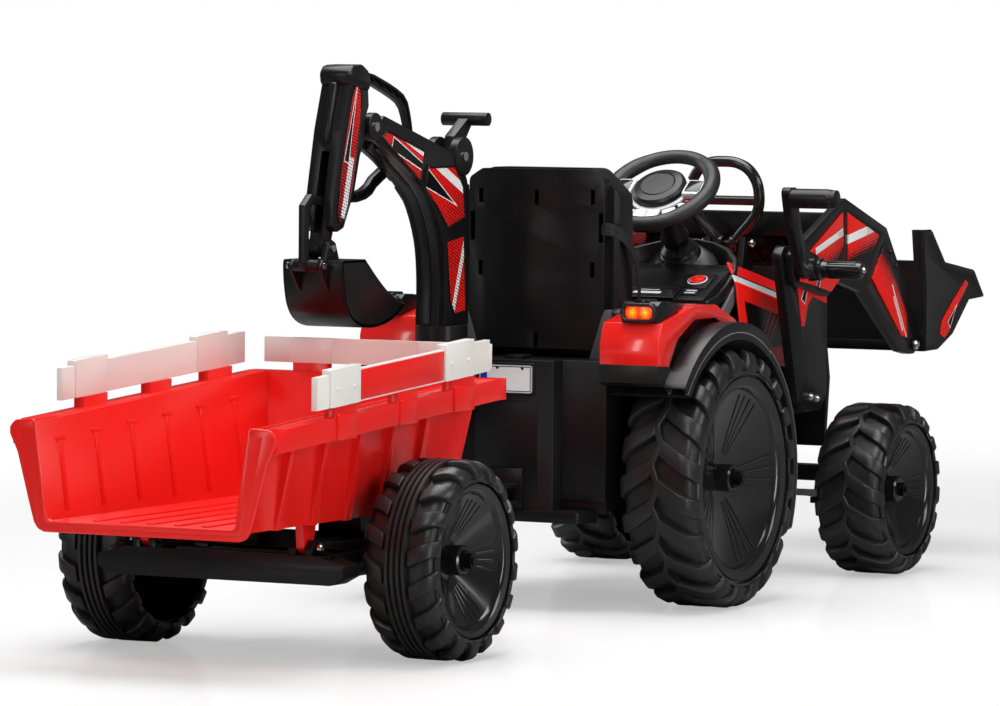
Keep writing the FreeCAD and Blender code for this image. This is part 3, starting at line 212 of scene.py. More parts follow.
def plate(name, points, y_low, y_high, width=1.0):
    """An upright plate from (x, z) points, between two distances from the middle plane."""
    piece = set_outline(name, [at(x, y_low, z) for x, z in points], "NGON")
    move = {"value": (0, (y_high - y_low) * MM, 0)}
    edited(piece, bpy.ops.mesh.extrude_region_move, TRANSFORM_OT_translate=move)
    return rounded(outward(piece), width)


print("helpers: block, set_outline, plate")

# %% Turned shapes
def turned(name, profile, steps=72, smooth=30):
    """A solid spun about the Y axis through the origin, from a closed section of (radius, y)."""
    piece = set_outline(name, [Vector((r, y, 0)) * MM for r, y in profile], "NOTHING")
    edited(piece, bpy.ops.mesh.spin, steps=steps, angle=2 * math.pi, center=(0, 0, 0), axis=(0, 1, 0))
    outward(piece)
    return rounded(piece, 0, smooth=smooth)


print("helper: turned")

# %% [markdown]
# ## Finishes
# A shader's maths reads best as arithmetic, so one small class wraps a node's output and gives it
# Python's operators. A pattern can then be written down as a sentence of plus, times and less.

# %% Shader arithmetic
class Wire:
    def __init__(self, maker, socket):
        self.maker, self.socket = maker, socket

    def math(self, operation, *others):
        inputs = dict(enumerate((self,) + others))
        return self.maker.node("ShaderNodeMath", {"operation": operation}, inputs)

    def __add__(self, other):
        return self.math("ADD", other)

    def __sub__(self, other):
        return self.math("SUBTRACT", other)

    def __rsub__(self, other):
        return self.maker.node("ShaderNodeMath", {"operation": "SUBTRACT"}, {0: other, 1: self})

    def __mul__(self, other):
        return self.math("MULTIPLY", other)

    def __gt__(self, other):
        return self.math("GREATER_THAN", other)

    def __lt__(self, other):
        return self.math("LESS_THAN", other)

    __radd__, __rmul__ = __add__, __mul__

    def fract(self):
        return self.math("FRACT")

    def near(self, value, reach):
        return (self - value).math("ABSOLUTE") < reach


print("a wire knows + - * < >, and the reflected + - *")

# %% [markdown]
# Every other node comes from one method of the material maker, which takes the node's type, its
# settings and what goes into its sockets. Noise, mixing and bump get a short name each, and axes
# gives the place on the object in millimetres, so that a pattern can be measured out on it.

# %% The material maker
class Finish:
    """A material with one Principled shader, and a short way to add nodes to it."""

    def __init__(self, name, colour, roughness, **fixed):
        self.material = bpy.data.materials.new(name)
        self.material.use_nodes = True
        self.tree = self.material.node_tree
        self.shader = self.tree.nodes["Principled BSDF"]
        self.set("Base Color", (*colour, 1))
        self.set("Roughness", roughness)
        for key, value in fixed.items():
            self.set(key.replace("_", " "), value)
        self.place = self.node("ShaderNodeTexCoord", {}, {}, "Object")

    def node(self, kind, settings, inputs, output=0):
        made = self.tree.nodes.new(kind)
        for key, value in settings.items():
            if key == "stops":
                for stop, (position, shade) in zip(made.color_ramp.elements, value):
                    stop.position, stop.color = position, (*shade, 1)
            else:
                setattr(made, key, value)
        for key, value in inputs.items():
            self.feed(made.inputs[key], value)
        return Wire(self, made.outputs[output])

    def feed(self, socket, value):
        if isinstance(value, Wire):
            self.tree.links.new(value.socket, socket)
        else:
            socket.default_value = value

    def set(self, name, value):
        self.feed(self.shader.inputs[name], value)

    def noise(self, scale, detail=2.0, vector=None):
        return self.node("ShaderNodeTexNoise", {},
                         {"Vector": vector or self.place, "Scale": scale, "Detail": detail})

    def mix(self, share, first, second):
        def colour(value):
            return value if isinstance(value, Wire) else (*value, 1)
        return self.node("ShaderNodeMix", {"data_type": "RGBA"},
                         {0: share, 6: colour(first), 7: colour(second)}, 2)

    def bump(self, height, distance, strength=1.0):
        self.set("Normal",
                 self.node("ShaderNodeBump", {},
                           {"Height": height, "Distance": distance, "Strength": strength}))

    def axes(self):
        """X, Y and Z in millimetres, X from the rear axle."""
        split = self.node("ShaderNodeSeparateXYZ", {}, {"Vector": self.place})
        x, y, z = (Wire(self, split.socket.node.outputs[i]) for i in range(3))
        return (x - AXLE_X) * 1000, y * 1000, z * 1000


print("maker: Finish, with noise, mix, bump and axes")

# %% [markdown]
# The moulded plastics differ in colour, gloss and grain. Each has a faint cloudiness in its
# colour, a roughness that drifts a little, and a fine surface: an orange-peel ripple under gloss,
# a spark-eroded grain on the satin parts.

# %% Plastics
def plastic(name, colour, roughness, grain, depth, coat=0.0, drift=0.05, lift=0.12, shine=0.5):
    finish = Finish(name, colour, roughness, Coat_Weight=coat, Coat_Roughness=0.06,
                    Specular_IOR_Level=shine)
    cloud = finish.noise(9.0, 3.0)
    lighter = tuple(min(1.0, c * (1 + lift) + 0.004) for c in colour)
    darker = tuple(c * (1 - lift) for c in colour)
    finish.set("Base Color", finish.mix(cloud, darker, lighter))
    finish.set("Roughness", finish.noise(38.0, 4.0) * (2 * drift) + (roughness - drift))
    finish.bump(finish.noise(grain, 2.0), depth * MM)
    return finish.material


red = plastic("Glossy red plastic", (0.78, 0.010, 0.007), 0.24, 60.0, 0.05, coat=0.08, drift=0.03,
              lift=0.05, shine=0.35)
black = plastic("Satin black plastic", (0.0045, 0.0043, 0.005), 0.30, 900.0, 0.05, drift=0.05, shine=0.32)
dark_gloss = plastic("Glossy black plastic", (0.006, 0.006, 0.007), 0.16, 60.0, 0.03, coat=0.2, drift=0.04)
rim_ring = plastic("Stippled rim plastic", (0.012, 0.012, 0.014), 0.42, 420.0, 0.5, drift=0.08)
tyre_plastic = plastic("Blow-moulded tyre plastic", (0.0095, 0.0092, 0.0092), 0.38, 140.0, 0.14, drift=0.09,
                       lift=0.25)
off_white = plastic("Off-white plastic", (0.79, 0.77, 0.73), 0.33, 90.0, 0.04, coat=0.15, lift=0.03)
silver = plastic("Silver painted plastic", (0.68, 0.69, 0.71), 0.26, 1400.0, 0.02, coat=0.3, lift=0.05)
battery_case = plastic("Battery case plastic", (0.05, 0.05, 0.055), 0.5, 500.0, 0.05)
print(len(bpy.data.materials), "materials after the plastics")

# %% [markdown]
# Axles and rods are plated or blackened steel. Noise stretched along one direction drifts their
# roughness, which gives the faint drawn streaks of bar stock.

# %% Metals
def metal(name, colour, roughness):
    finish = Finish(name, colour, roughness, Metallic=1.0)
    stretched = finish.node("ShaderNodeMapping", {}, {"Vector": finish.place, "Scale": (1.0, 14.0, 1.0)})
    finish.set("Roughness", finish.noise(160.0, 3.0, stretched) * 0.16 + (roughness - 0.08))
    finish.bump(finish.noise(700.0, 2.0, stretched), 0.01 * MM)
    return finish.material


zinc = metal("Zinc-plated steel", (0.52, 0.52, 0.53), 0.34)
chrome = metal("Polished bolt steel", (0.68, 0.68, 0.70), 0.20)
dark_steel = metal("Blackened steel", (0.03, 0.03, 0.032), 0.36)
print(len(bpy.data.materials), "materials after the metals")

# %% [markdown]
# A piece may carry two materials, such as a glossy rim with a stippled ring. Joining keeps each
# face's number, so a mesh is given its materials without losing the marks. Then it is told which
# body it moves with.

# %% Giving a piece its materials and its body
def coated(piece, *materials):
    """Gives a mesh its materials; each face keeps the number of the one it was marked for."""
    marks = [polygon.material_index for polygon in piece.data.polygons]
    piece.data.materials.clear()
    for material in materials:
        piece.data.materials.append(material)
    for polygon, mark in zip(piece.data.polygons, marks):
        polygon.material_index = min(mark, len(materials) - 1)
    return piece


def dressed(piece, body, slot, *materials):
    """Gives a finished piece its material and the body it moves with; the slot is not used."""
    if materials:
        coated(piece, *materials)
    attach(piece, body)
    print(piece.name, "rides", body, "with", len(piece.data.polygons), "faces")
    return piece


print("helpers: coated, dressed")

# %% [markdown]
# ## Wheels
# Each tyre is a blow-moulded shell with deep lugs. The shell is one section spun round the axle.
# A lug is easiest to model flat, as a bar lying on an unrolled tread, and then wrapped: its
# length runs over the crown, round the shoulder and down the side wall while its width follows
# the circumference.

# %% Where a point of the unrolled tread lands
LUG_SINK = 2.0


def crown_point(run, height, base, crown, shoulder):
    """Radius and sideways place of a point that lies run along the section and height above it."""
    bend = shoulder * math.pi / 2
    if run <= crown:
        return base + height, run
    if run <= crown + bend:
        turn = (run - crown) / shoulder
        return (base - shoulder * (1 - math.cos(turn)) + height * math.cos(turn),
                crown + (shoulder + height) * math.sin(turn))
    return base - shoulder - (run - crown - bend), crown + shoulder + height


print("helper: crown_point; a lug's foot is sunk", LUG_SINK, "mm into the shell")

# %% One wrapped lug
def lug(name, start, length, width, height, side_height, slope, base, crown, shoulder):
    only()
    bpy.ops.mesh.primitive_cube_add(size=1)
    piece = named(name)
    piece.scale = (width, length, height + LUG_SINK)
    piece.location = (0, start + length / 2, (height - LUG_SINK) / 2)
    settle(piece)
    bpy.ops.object.mode_set(mode="EDIT")
    cuts = 11
    for i in range(1, cuts):
        bpy.ops.mesh.select_all(action="SELECT")
        bpy.ops.mesh.bisect(plane_co=(0, start + length * i / cuts, 0), plane_no=(0, 1, 0))
    bpy.ops.object.mode_set(mode="OBJECT")
    bend = shoulder * math.pi / 2
    for vertex in piece.data.vertices:
        across, run, up = vertex.co
        share = min(1.0, max(0.0, (run - crown) / bend))
        tall = height + (side_height - height) * share
        if up > 0:
            up = tall
            across *= 0.80
        across *= 1.0 + 0.22 * min(1.0, run / (crown + bend))
        swing = slope * min(run, crown + bend * 0.8)
        radius, sideways = crown_point(run, up, base, crown, shoulder)
        angle = (across + swing) / base
        vertex.co = Vector((radius * math.cos(angle), sideways, radius * math.sin(angle))) * MM
    return rounded(outward(piece), 1.4, 2, angle=34, smooth=40)


print("helper: lug")

# %% [markdown]
# The whole tyre is the spun shell, its lugs copied round both halves, half a step apart, and what
# runs along the middle: plain ribs on the trailer's tyres, and one band in a zigzag on the
# tractor's, because there the lugs of the two halves meet in turn.

# %% A whole tyre
DEEP_LUG, LOW_LUG, LARGE_WHEEL = 13.0, 10.5, 150
LUG_SHARE, WALL_REACH = 0.50, 0.72
RIB_PITCH, ZIGZAG = 8.6, 6.0


def tyre(name, radius, width, bead, lugs, slope, ribs):
    half = width / 2
    deep = DEEP_LUG if radius > LARGE_WHEEL else LOW_LUG
    base, side_height = radius - deep, 4.5
    shoulder = 17.0
    crown = half - side_height - shoulder
    wall = half - side_height
    curve = [(base - shoulder * (1 - math.cos(a)), crown + shoulder * math.sin(a))
             for a in (math.radians(d) for d in (0, 18, 36, 54, 72, 90))]
    outside = [(bead, wall - 10), (bead + 3, wall - 3), (bead + 8, wall)] + curve[::-1]
    inside = [(base - 5, crown), (base - shoulder - 2, wall - 5), (bead + 5, wall - 8)]
    upper = outside + [(base, 0)]
    loop = upper + [(r, -y) for r, y in reversed(outside)] + [(r, -y) for r, y in reversed(inside)] + inside
    shell = turned(name + "_shell", loop, 96, 34)
    pieces = [shell]
    start = ribs * 4.9 if ribs else 5.0
    reach = crown + shoulder * math.pi / 2 + (base - shoulder - bead) * WALL_REACH - start
    lug_width = 2 * math.pi * base / lugs * LUG_SHARE
    first = lug(name + "_lug", start, reach, lug_width, deep, side_height, slope, base, crown, shoulder)
    for side in (1, -1):
        flip = Matrix.Identity(4) if side > 0 else MIRROR
        for i in range(lugs):
            turn = Matrix.Rotation(2 * math.pi * (i + (0.5 if side < 0 else 0)) / lugs, 4, "Y")
            pieces.append(copied(first, name + "_lug_copy", turn @ flip))
    removed(first)
    if ribs:
        for i in range(ribs):
            y = (i - (ribs - 1) / 2) * RIB_PITCH
            section = [(base - 4, y - 3.7), (radius - 2.0, y - 3.1), (radius, y - 2.2),
                       (radius, y + 2.2), (radius - 2.0, y + 3.1), (base - 4, y + 3.7)]
            pieces.append(turned(name + "_rib", section, 96))
    else:
        section = [(base - 4, -6.5), (radius - 1.5, -5.0), (radius, -3.6), (radius, 3.6),
                   (radius - 1.5, 5.0), (base - 4, 6.5)]
        seam = turned(name + "_rib", section, lugs * 8)
        for vertex in seam.data.vertices:
            share = math.atan2(vertex.co.z, vertex.co.x) * lugs / (2 * math.pi) % 1.0
            vertex.co.y += (abs(share - 0.5) * 4 - 1) * ZIGZAG * MM
        pieces.append(seam)
    return joined(name, pieces)


print("helper: tyre")

# %% [markdown]
# The rim is a glossy cone with groups of raised bars, a stippled ring and a hub cap. Its section
# is spun, and one bar is modelled as a tapered block on the cone and copied round. The ring gets
# its own material by marking the faces that lie between two radii.

# %% A whole rim
RING_SHARE, CONE_SHARE, HUB_RADIUS = 0.965, 0.845, 21.0
BAR_SPACING = 0.155


def rim(name, width, bead):
    half = width / 2
    wall = half - 4.5
    lip, ring, cone, hub = bead - 3, bead * RING_SHARE, bead * CONE_SHARE, HUB_RADIUS
    inner = half - 47
    profile = [(bead + 3, wall - 9), (bead + 4, wall - 2), (bead + 1, wall + 1.5), (lip, wall + 2),
               (ring + 3, wall + 1), (ring + 2, wall - 5), (ring - 1.5, wall - 5), (ring - 2.5, wall - 0.5),
               (cone + 4, wall - 3), (cone, wall - 6), (cone - 3, wall - 12), (hub + 6, inner),
               (hub, inner + 1), (hub, half - 23), (hub - 2.5, half - 20.5), (10, half - 20),
               (9, half - 22), (8.6, half - 31), (0, half - 31), (0, half - 54), (hub + 7, inner - 5),
               (cone - 3, wall - 18), (bead - 3, wall - 20), (bead - 3, -half + 9), (bead + 3, -half + 9)]
    disc = coated(turned(name + "_disc", profile, 96, 28), dark_gloss, rim_ring)
    for face in disc.data.polygons:
        spot = math.hypot(face.center.x, face.center.z) / MM
        if cone + 3 < spot < ring - 1 and face.center.y > (wall - 5) * MM:
            face.material_index = 1
    slope = (wall - 12 - inner) / (cone - 3 - hub - 6)
    pieces = [disc]
    low, high = hub + 16, cone - 10
    only()
    bpy.ops.mesh.primitive_cube_add(size=1)
    bar = named(name + "_bar")
    bar.scale = (high - low, 4.0, 3.2)
    bar.location = ((low + high) / 2, 0, 0)
    settle(bar)
    for vertex in bar.data.vertices:
        x, y, z = vertex.co
        z *= 1.25 if x > (low + high) / 2 else 0.7
        vertex.co = Vector((x, inner + slope * (x - hub - 6) + y * (0.7 if x > 60 else 0.5), z)) * MM
    coated(rounded(bar, 0.8, 2), dark_gloss, rim_ring)
    groups, each = 5, 4
    for g in range(groups):
        for i in range(each):
            angle = 2 * math.pi * g / groups + (i - 1.5) * BAR_SPACING
            pieces.append(copied(bar, name + "_bar_copy", Matrix.Rotation(angle, 4, "Y")))
    removed(bar)
    return coated(joined(name, pieces), dark_gloss, rim_ring)


print("helper: rim")

# %% [markdown]
# The six wheels are three pairs. Each kind is modelled once round the origin and copied to the
# two places where the frame has that tyre; the right one is mirrored, so the treads point the
# same way when the tractor rolls.

# %% Six wheels from three
def make_wheels():
    kinds = {
        "rear": (195.0, 126.0, 161.0, 20, 0.62, 0),
        "front": (137.0, 118.0, 110.0, 17, 0.55, 0),
        "trailer": (138.0, 114.0, 111.0, 18, -0.50, 4),
    }
    for kind, (radius, width, bead, lugs, slope, ribs) in kinds.items():
        model = tyre(kind + "_tyre_model", radius, width, bead, lugs, slope, ribs)
        disc = rim(kind + "_rim_model", width, bead)
        for side in ("left", "right"):
            low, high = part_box(f"{kind}_tyre_{side}")
            move = Matrix.Translation((low + high) / 2) @ (Matrix.Identity(4) if side == "left" else MIRROR)
            body = f"{kind}_wheel_{side}"
            tread = dressed(copied(model, f"{kind}_tread_{side}", move), body, "tyre_plastic", tyre_plastic)
            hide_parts(f"{kind}_tyre_{side}")
            dish = dressed(copied(disc, f"{kind}_dish_{side}", move), body, "rim_plastic")
            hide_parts(f"{kind}_rim_{side}")
        removed(model, disc)
        print(kind, "tyre:", lugs * 2, "lugs,", len(tread.data.polygons), "faces")


make_wheels()

# %% [markdown]
# ## The moulded bodywork
# The red fenders are glossy plastic with a clear coat. The black arch flares are satin, with a
# thin grey line along the arch's lip that is a painted highlight: one distance from the axle,
# measured in the shader.

# %% Finishes of the fenders and the arch flares
def fender_red():
    finish = Finish("Fender plastic", (0.80, 0.013, 0.010), 0.22, Specular_IOR_Level=0.6, Coat_Weight=0.7,
                    Coat_Roughness=0.08)
    finish.set("Base Color", finish.mix(finish.noise(7.0), (0.76, 0.010, 0.007), (0.83, 0.014, 0.010)))
    finish.set("Roughness", finish.noise(30.0, 3.0) * 0.06 + 0.19)
    finish.bump(finish.noise(45.0), 0.05 * MM)
    return finish.material


def flare_black(lip_radius, axle_height):
    """Black plastic with a thin grey line round the arch's lip, painted as a highlight."""
    finish = Finish("Arch flare plastic", (0.0085, 0.0082, 0.009), 0.36, Specular_IOR_Level=0.4)
    x, _, z = finish.axes()
    rise = z - axle_height
    radius = (x * x + rise * rise).math("SQRT")
    # The grey line at the lip's radius is a painted highlight, where the lip's edge catches the light.
    trim = radius.near(lip_radius, 0.9)
    finish.set("Base Color", finish.mix(trim, (0.0085, 0.0082, 0.009), (0.16, 0.16, 0.165)))
    finish.set("Roughness", finish.noise(40.0, 3.0) * 0.12 + 0.30)
    finish.bump(finish.noise(900.0), 0.05 * MM)
    return finish.material


fender_plastic = fender_red()
FLARE_LIP, REAR_AXLE_Z = 219.5, 195.0
flare_plastic = flare_black(FLARE_LIP, REAR_AXLE_Z)
# The printed trim line is the painted highlight along the arch's lip.
print("trim line at radius", FLARE_LIP, "round an axle", REAR_AXLE_Z, "mm up")

# %% [markdown]
# A CAD piece is loose triangles with knife-sharp edges, and moulded plastic never has those. The
# CAD piece itself is left alone: a copy of it is merged, its flat faces are dissolved back into
# single polygons, and its edges are bevelled so that they catch the light.

# %% Softening a CAD piece
def softened(node, width, segments=2, angle=30):
    only(frame["nodes"][node])
    bpy.ops.object.duplicate()
    piece = named(node + "_moulded")
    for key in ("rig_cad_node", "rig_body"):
        del piece[key]
    piece.parent = None
    bpy.ops.object.mode_set(mode="EDIT")
    bpy.ops.mesh.select_all(action="SELECT")
    bpy.ops.mesh.remove_doubles(threshold=2e-6)
    bpy.ops.mesh.dissolve_limited(angle_limit=math.radians(0.6))
    bpy.ops.object.mode_set(mode="OBJECT")
    rounded(piece, width, segments, angle)
    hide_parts(node)
    return piece


print("helper: softened")

# %% [markdown]
# Most of the black and red pieces are plain injection mouldings whose CAD shapes are right, so
# they are softened and given their plastic. The table says how wide each one's edge is.

# %% Soften the mouldings
MOULDINGS = {"floor_pan": (2.0, black), "rear_body": (2.5, black), "seat_back": (8.0, black),
             "seat_pan": (8.0, black), "fenders": (3.5, fender_plastic),
             "arch_flares": (2.0, flare_plastic), "tail_lamp_housings": (2.5, black),
             "dash_console": (2.5, black), "front_grille": (2.5, black), "hoop_bracket": (1.5, black),
             "loader_posts": (3.0, black), "loader_arms": (2.5, black), "loader_bucket": (2.2, black),
             "dump_lever": (2.5, black), "digger_pedestal": (2.5, black), "stick": (2.5, black),
             "boom_lever": (4.5, black), "scoop_link": (1.5, black), "hitch": (1.5, black),
             "trailer_frame": (2.5, black), "trailer_tub": (3.0, red), "tub_rails": (4.0, off_white),
             "accelerator_pedal": (1.5, black), "drive_gearboxes": (2.0, black)}
SLOT_OF = {part["node"]: part["material_slot"] for part in frame["record"]["subparts"]}
for node, (width, material) in MOULDINGS.items():
    segments = 4 if width > 5 else 2
    dressed(softened(node, width, segments), BODY_OF[node], SLOT_OF[node], material)
print(len(MOULDINGS), "mouldings softened")

# %% [markdown]
# A few hidden or simple pieces, such as the axles and the rods, keep their CAD shape and only get
# a better finish.

# %% Pieces that keep their CAD shape
def painted(node, material):
    """A CAD piece that keeps its own shape gets a better finish."""
    data = frame["nodes"][node].data
    data.materials.clear()
    data.materials.append(material)


for node in ("rear_axle", "trailer_axle", "knuckle_left", "knuckle_right", "front_axle_beam"):
    painted(node, dark_steel)
for node in ("steering_shaft", "tie_rod"):
    painted(node, zinc)
painted("pivot_bolts", chrome)
painted("battery", battery_case)
print("painted: axles, knuckles, rods, pins, battery")

# %% [markdown]
# The back of the loader bucket ends in an upright horn at each side. The real horns are narrower
# than the CAD ones, so the corners of their inner edges are moved outwards.

# %% Horns of the loader bucket
HORN_FOOT_Z, HORN_EDGE, HORN_EDGE_TO = 0.492, (0.163, 0.178), 0.194
bucket = bpy.data.objects["loader_bucket_moulded"]
for vertex in bucket.data.vertices:
    if vertex.co.z > HORN_FOOT_Z and HORN_EDGE[0] < abs(vertex.co.y) < HORN_EDGE[1]:
        vertex.co.y = math.copysign(HORN_EDGE_TO, vertex.co.y)
print("inner edges of the horns moved to", HORN_EDGE_TO, "m from the middle plane")

# %% [markdown]
# A band closes the step below each fender and follows the wheel. It is a closed section spun
# through part of a turn about the axle, made on one side and mirrored to the other.

# %% Arch bands that close the step below the fender
BAND_START, BAND_SWEEP = math.radians(58), math.radians(-82)


def arch_band(side):
    """The band for one side, and the model it was copied from."""
    section = [(207, 247), (232, 247), (243, 249), (242, 255), (233, 272), (224, 283), (220, 286),
               (209, 286)]
    corners = [Vector((r * math.cos(BAND_START), y, r * math.sin(BAND_START))) * MM for r, y in section]
    piece = set_outline("arch_band", corners, "NGON")
    edited(piece, bpy.ops.mesh.spin, steps=28, angle=BAND_SWEEP, center=(0, 0, 0), axis=(0, 1, 0))
    outward(piece)
    move = Matrix.Translation(at(0, 0, REAR_AXLE_Z))
    return copied(rounded(piece, 2.0, 2, 40, 50), "arch_band", move if side > 0 else move @ MIRROR), piece


for side in (-1, 1):
    made, model = arch_band(side)
    removed(model)
    dressed(made, "tractor", "black_plastic", flare_plastic)

# %% [markdown]
# ## Bolts and pins
# The pivots end in polished dome-headed bolts. One bolt is modelled from a spun section with a
# socket, its measures given as shares of its radius, and copied to every pivot.

# %% One bolt, and where a copy of it goes
def facing(direction, position):
    """The matrix that takes something made along +Y at the origin to a place and direction."""
    return Matrix.Translation(position) @ direction.to_track_quat("Y", "Z").to_matrix().to_4x4()


BOLT_SECTION = ((1.0, 0.0), (1.0, 0.25), (0.92, 0.5), (0.62, 0.72), (0.42, 0.74), (0.36, 0.3), (0.0, 0.3),
                (0.0, 0.0))


def bolt(name, radius):
    """A domed head with a socket; the section is given in shares of the radius."""
    return turned(name, [(radius * r, radius * y) for r, y in BOLT_SECTION], 28)


def bolts(name, body, radius, spots, material=None, slot="steel"):
    """Bolt heads at (x, y, z) spots; each points outwards, or along a direction given as a fourth value."""
    model = bolt(name + "_model", radius)
    heads = []
    for spot in spots:
        direction = Vector(spot[3]) if len(spot) > 3 else Vector((0, math.copysign(1, spot[1]), 0))
        heads.append(copied(model, name, facing(direction, at(*spot[:3]))))
    removed(model)
    return dressed(joined(name, heads), body, slot, material or chrome)


print("helpers: facing, bolt, bolts")

# %% Bolts
bolts("digger_elbow_bolts", "boom", 7.0,
      [(x, y, z) for y in (61.0, 119.0) for x, z in ((-503, 722), (-225, 676))])
bolts("stick_bolts", "stick", 5.0,
      [(-622, 65.5, 549), (-622, 114.5, 549), (-545, 66.5, 789), (-545, 113.5, 789)])
bolts("scoop_bolts", "digger_bucket", 5.0, [(-657, 60.5, 525), (-657, 119.5, 525)])
bolts("dump_bolts", "loader_arms", 8.0, [(872, -205, 357), (872, 205, 357)])
bolts("post_bolts", "tractor", 6.0,
      [(484, s * 190, 290) for s in (-1, 1)] + [(508, s * 190, 286) for s in (-1, 1)])
bolts("arm_screws", "loader_arms", 5.0,
      [(777, s * 199.5, 512) for s in (-1, 1)] + [(800, s * 199.5, 488) for s in (-1, 1)], black,
      "black_plastic")
bolts("tip_bolts", "trailer", 7.0, [(-1039, s * 145, 161) for s in (-1, 1)])
bolts("hoop_bolts", "tractor", 7.0, [(575, s * 42, 528) for s in (-1, 1)])
RAIL_SCREWS = ((-1100, 380), (-1054, 383), (-774, 400), (-724, 403))
bolts("rail_screws", "tub", 3.5, [(x, s * 205.0, z) for s in (-1, 1) for x, z in RAIL_SCREWS], off_white,
      "white_plastic")

# %% [markdown]
# ## Stickered arms
# The coloured panels on the arms are stickers: red with a field of black dots that may grow until
# they run together, a white band, and a long black wedge with a white edge. Two slanted
# coordinates make all of it: one along the band and one across it.

# %% Sticker finish
DOT_PITCH = 4.6
WHITE_EDGE = 1.5


def sticker(name, centre, angle, band=None, wedge=None, dots=(0.33, 0.0, 0.0), dotted=None):
    """A band is (offset across, half width, start, end) in mm; dots are (size, growth along, across)."""
    finish = Finish(name, (0.72, 0.012, 0.008), 0.27, Specular_IOR_Level=0.3)
    x, _, z = finish.axes()
    turn = math.radians(angle)
    along = (x - centre[0]) * math.cos(turn) + (z - centre[1]) * math.sin(turn)
    rise = (z - centre[1]) * math.cos(turn) - (x - centre[0]) * math.sin(turn)
    across = (along * (1 / DOT_PITCH)).fract() - 0.5
    up = (rise * (1 / DOT_PITCH)).fract() - 0.5
    spread = (across * across + up * up).math("SQRT")

    def inside(offset, half, start, end):
        return rise.near(offset, half) * along.near((start + end) / 2, (end - start) / 2)

    paint = finish.mix(spread < (along * dots[1] + rise * dots[2] + dots[0]), (0.76, 0.012, 0.008),
                       (0.005, 0.005, 0.0055))
    if dotted:
        paint = finish.mix(inside(*dotted) * (spread > 0.28), paint, (0.76, 0.76, 0.76))
    if band:
        paint = finish.mix(inside(*band), paint, (0.78, 0.78, 0.78))
    if wedge:
        offset, half, start, end = wedge
        limit = (along - end) * (-half / (end - start))
        from_line = (rise - offset).math("ABSOLUTE")
        paint = finish.mix((from_line < (limit + WHITE_EDGE)) * (along > (start - WHITE_EDGE)), paint,
                           (0.78, 0.78, 0.78))
        paint = finish.mix((from_line < limit) * (along > start), paint, (0.005, 0.005, 0.0055))
    finish.set("Base Color", paint)
    finish.set("Roughness", finish.noise(60.0, 3.0) * 0.08 + 0.22)
    finish.bump(finish.noise(80.0, 2.0), 0.03 * MM)
    return finish.material


print("helper: sticker")

# %% [markdown]
# Each side window of the boom and stick is a recess with a sticker in it. The outline is
# extruded, its face is inset to leave a frame, and the middle is pushed back in. The largest flat
# face is then the sticker's.

# %% Framed sticker panels
FRAME_FOOT = 1.0


def framed(name, points, face, out, border, raised, body, decal):
    """A raised frame with a sunk sticker, standing on the plane y = face; out is +1 or -1 along Y."""
    piece = set_outline(name, [at(x, face - out * FRAME_FOOT, z) for x, z in points], "NGON")
    rise = {"value": (0, out * (raised + FRAME_FOOT) * MM, 0)}
    only(piece)
    bpy.ops.object.mode_set(mode="EDIT")
    bpy.ops.mesh.select_all(action="SELECT")
    bpy.ops.mesh.extrude_region_move(TRANSFORM_OT_translate=rise)
    bpy.ops.mesh.inset(thickness=border * MM, depth=0)
    bpy.ops.transform.translate(value=(0, -out * (raised + 0.2) * MM * 0.7, 0))
    bpy.ops.object.mode_set(mode="OBJECT")
    outward(piece)
    rounded(piece, 0.8, 2)
    flat = [polygon for polygon in piece.data.polygons if polygon.normal.y * out > 0.95]
    max(flat, key=lambda polygon: polygon.area).material_index = 1
    return dressed(piece, body, "black_plastic", black, decal)


print("helper: framed")

# %% [markdown]
# ## Digger
# The boom is two moulded cheeks with a slimmer core between them, round bosses at the elbow and
# the lever, and a round foot. Its long lines are curves: a few corners are set down and cut twice
# over, which is quicker to adjust than a curve with many points.

# %% Curves and pins
def curved(points, times=2):
    """Cuts every inner corner of a line, twice over unless told otherwise, which leaves a curve."""
    for _ in range(times):
        line = [points[0]]
        for (x0, z0), (x1, z1) in zip(points, points[1:]):
            line += [(x0 * 0.75 + x1 * 0.25, z0 * 0.75 + z1 * 0.25),
                     (x0 * 0.25 + x1 * 0.75, z0 * 0.25 + z1 * 0.75)]
        points = line + [points[-1]]
    return points


def pin(name, x, z, y_low, y_high, radius):
    piece = turned(name, [(0, 0), (radius, 0), (radius, y_high - y_low), (0, y_high - y_low)], 40, 40)
    piece.data.transform(Matrix.Translation(at(x, y_low, z)))
    return rounded(piece, 0.8, 2)


print("helpers: curved, pin")

# %% Boom
BELLY = curved([(-282, 425), (-279, 500), (-290, 560), (-330, 622), (-400, 662), (-490, 700), (-512, 706)])
BACK = curved([(-476, 738), (-335, 702), (-262, 682), (-212, 650), (-203, 590), (-206, 476), (-207, 425)])
CORE = curved([(-282, 425), (-279, 500), (-290, 560), (-330, 622), (-400, 662), (-458, 688)])
CORE += [(-452, 730), (-335, 699), (-272, 682), (-264, 640), (-204, 634), (-206, 476), (-207, 425)]
parts = [plate("boom_cheek", BELLY + BACK, low, low + 11, 2.2) for low in (65, 104)]
parts += [plate("boom_core", CORE, low, low + 23.8, 1.2) for low in (65.8, 90.4)]
parts += [pin("boom_boss", -225, 676, low, low + 12.5, 29) for low in (63.5, 104)]
parts += [pin("boom_elbow", -503, 722, low, low + 12.5, 20.5) for low in (63.5, 104)]
parts.append(pin("boom_foot", 0, 0, -24, 0, 39))
parts[-1].data.transform(facing(Vector((0, 0, 1)), at(-245, 90, 425)) @ Matrix.Translation(-at(0, 0, 0)))
dressed(joined("boom_shell", parts), "boom", "black_plastic", black)
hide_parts("boom")

# %% [markdown]
# The digger bucket is a bent sheet between two cheeks, with lugs for its pivots. The sheet is one
# line and the same line moved inwards by its thickness, closed into a strip and extruded.

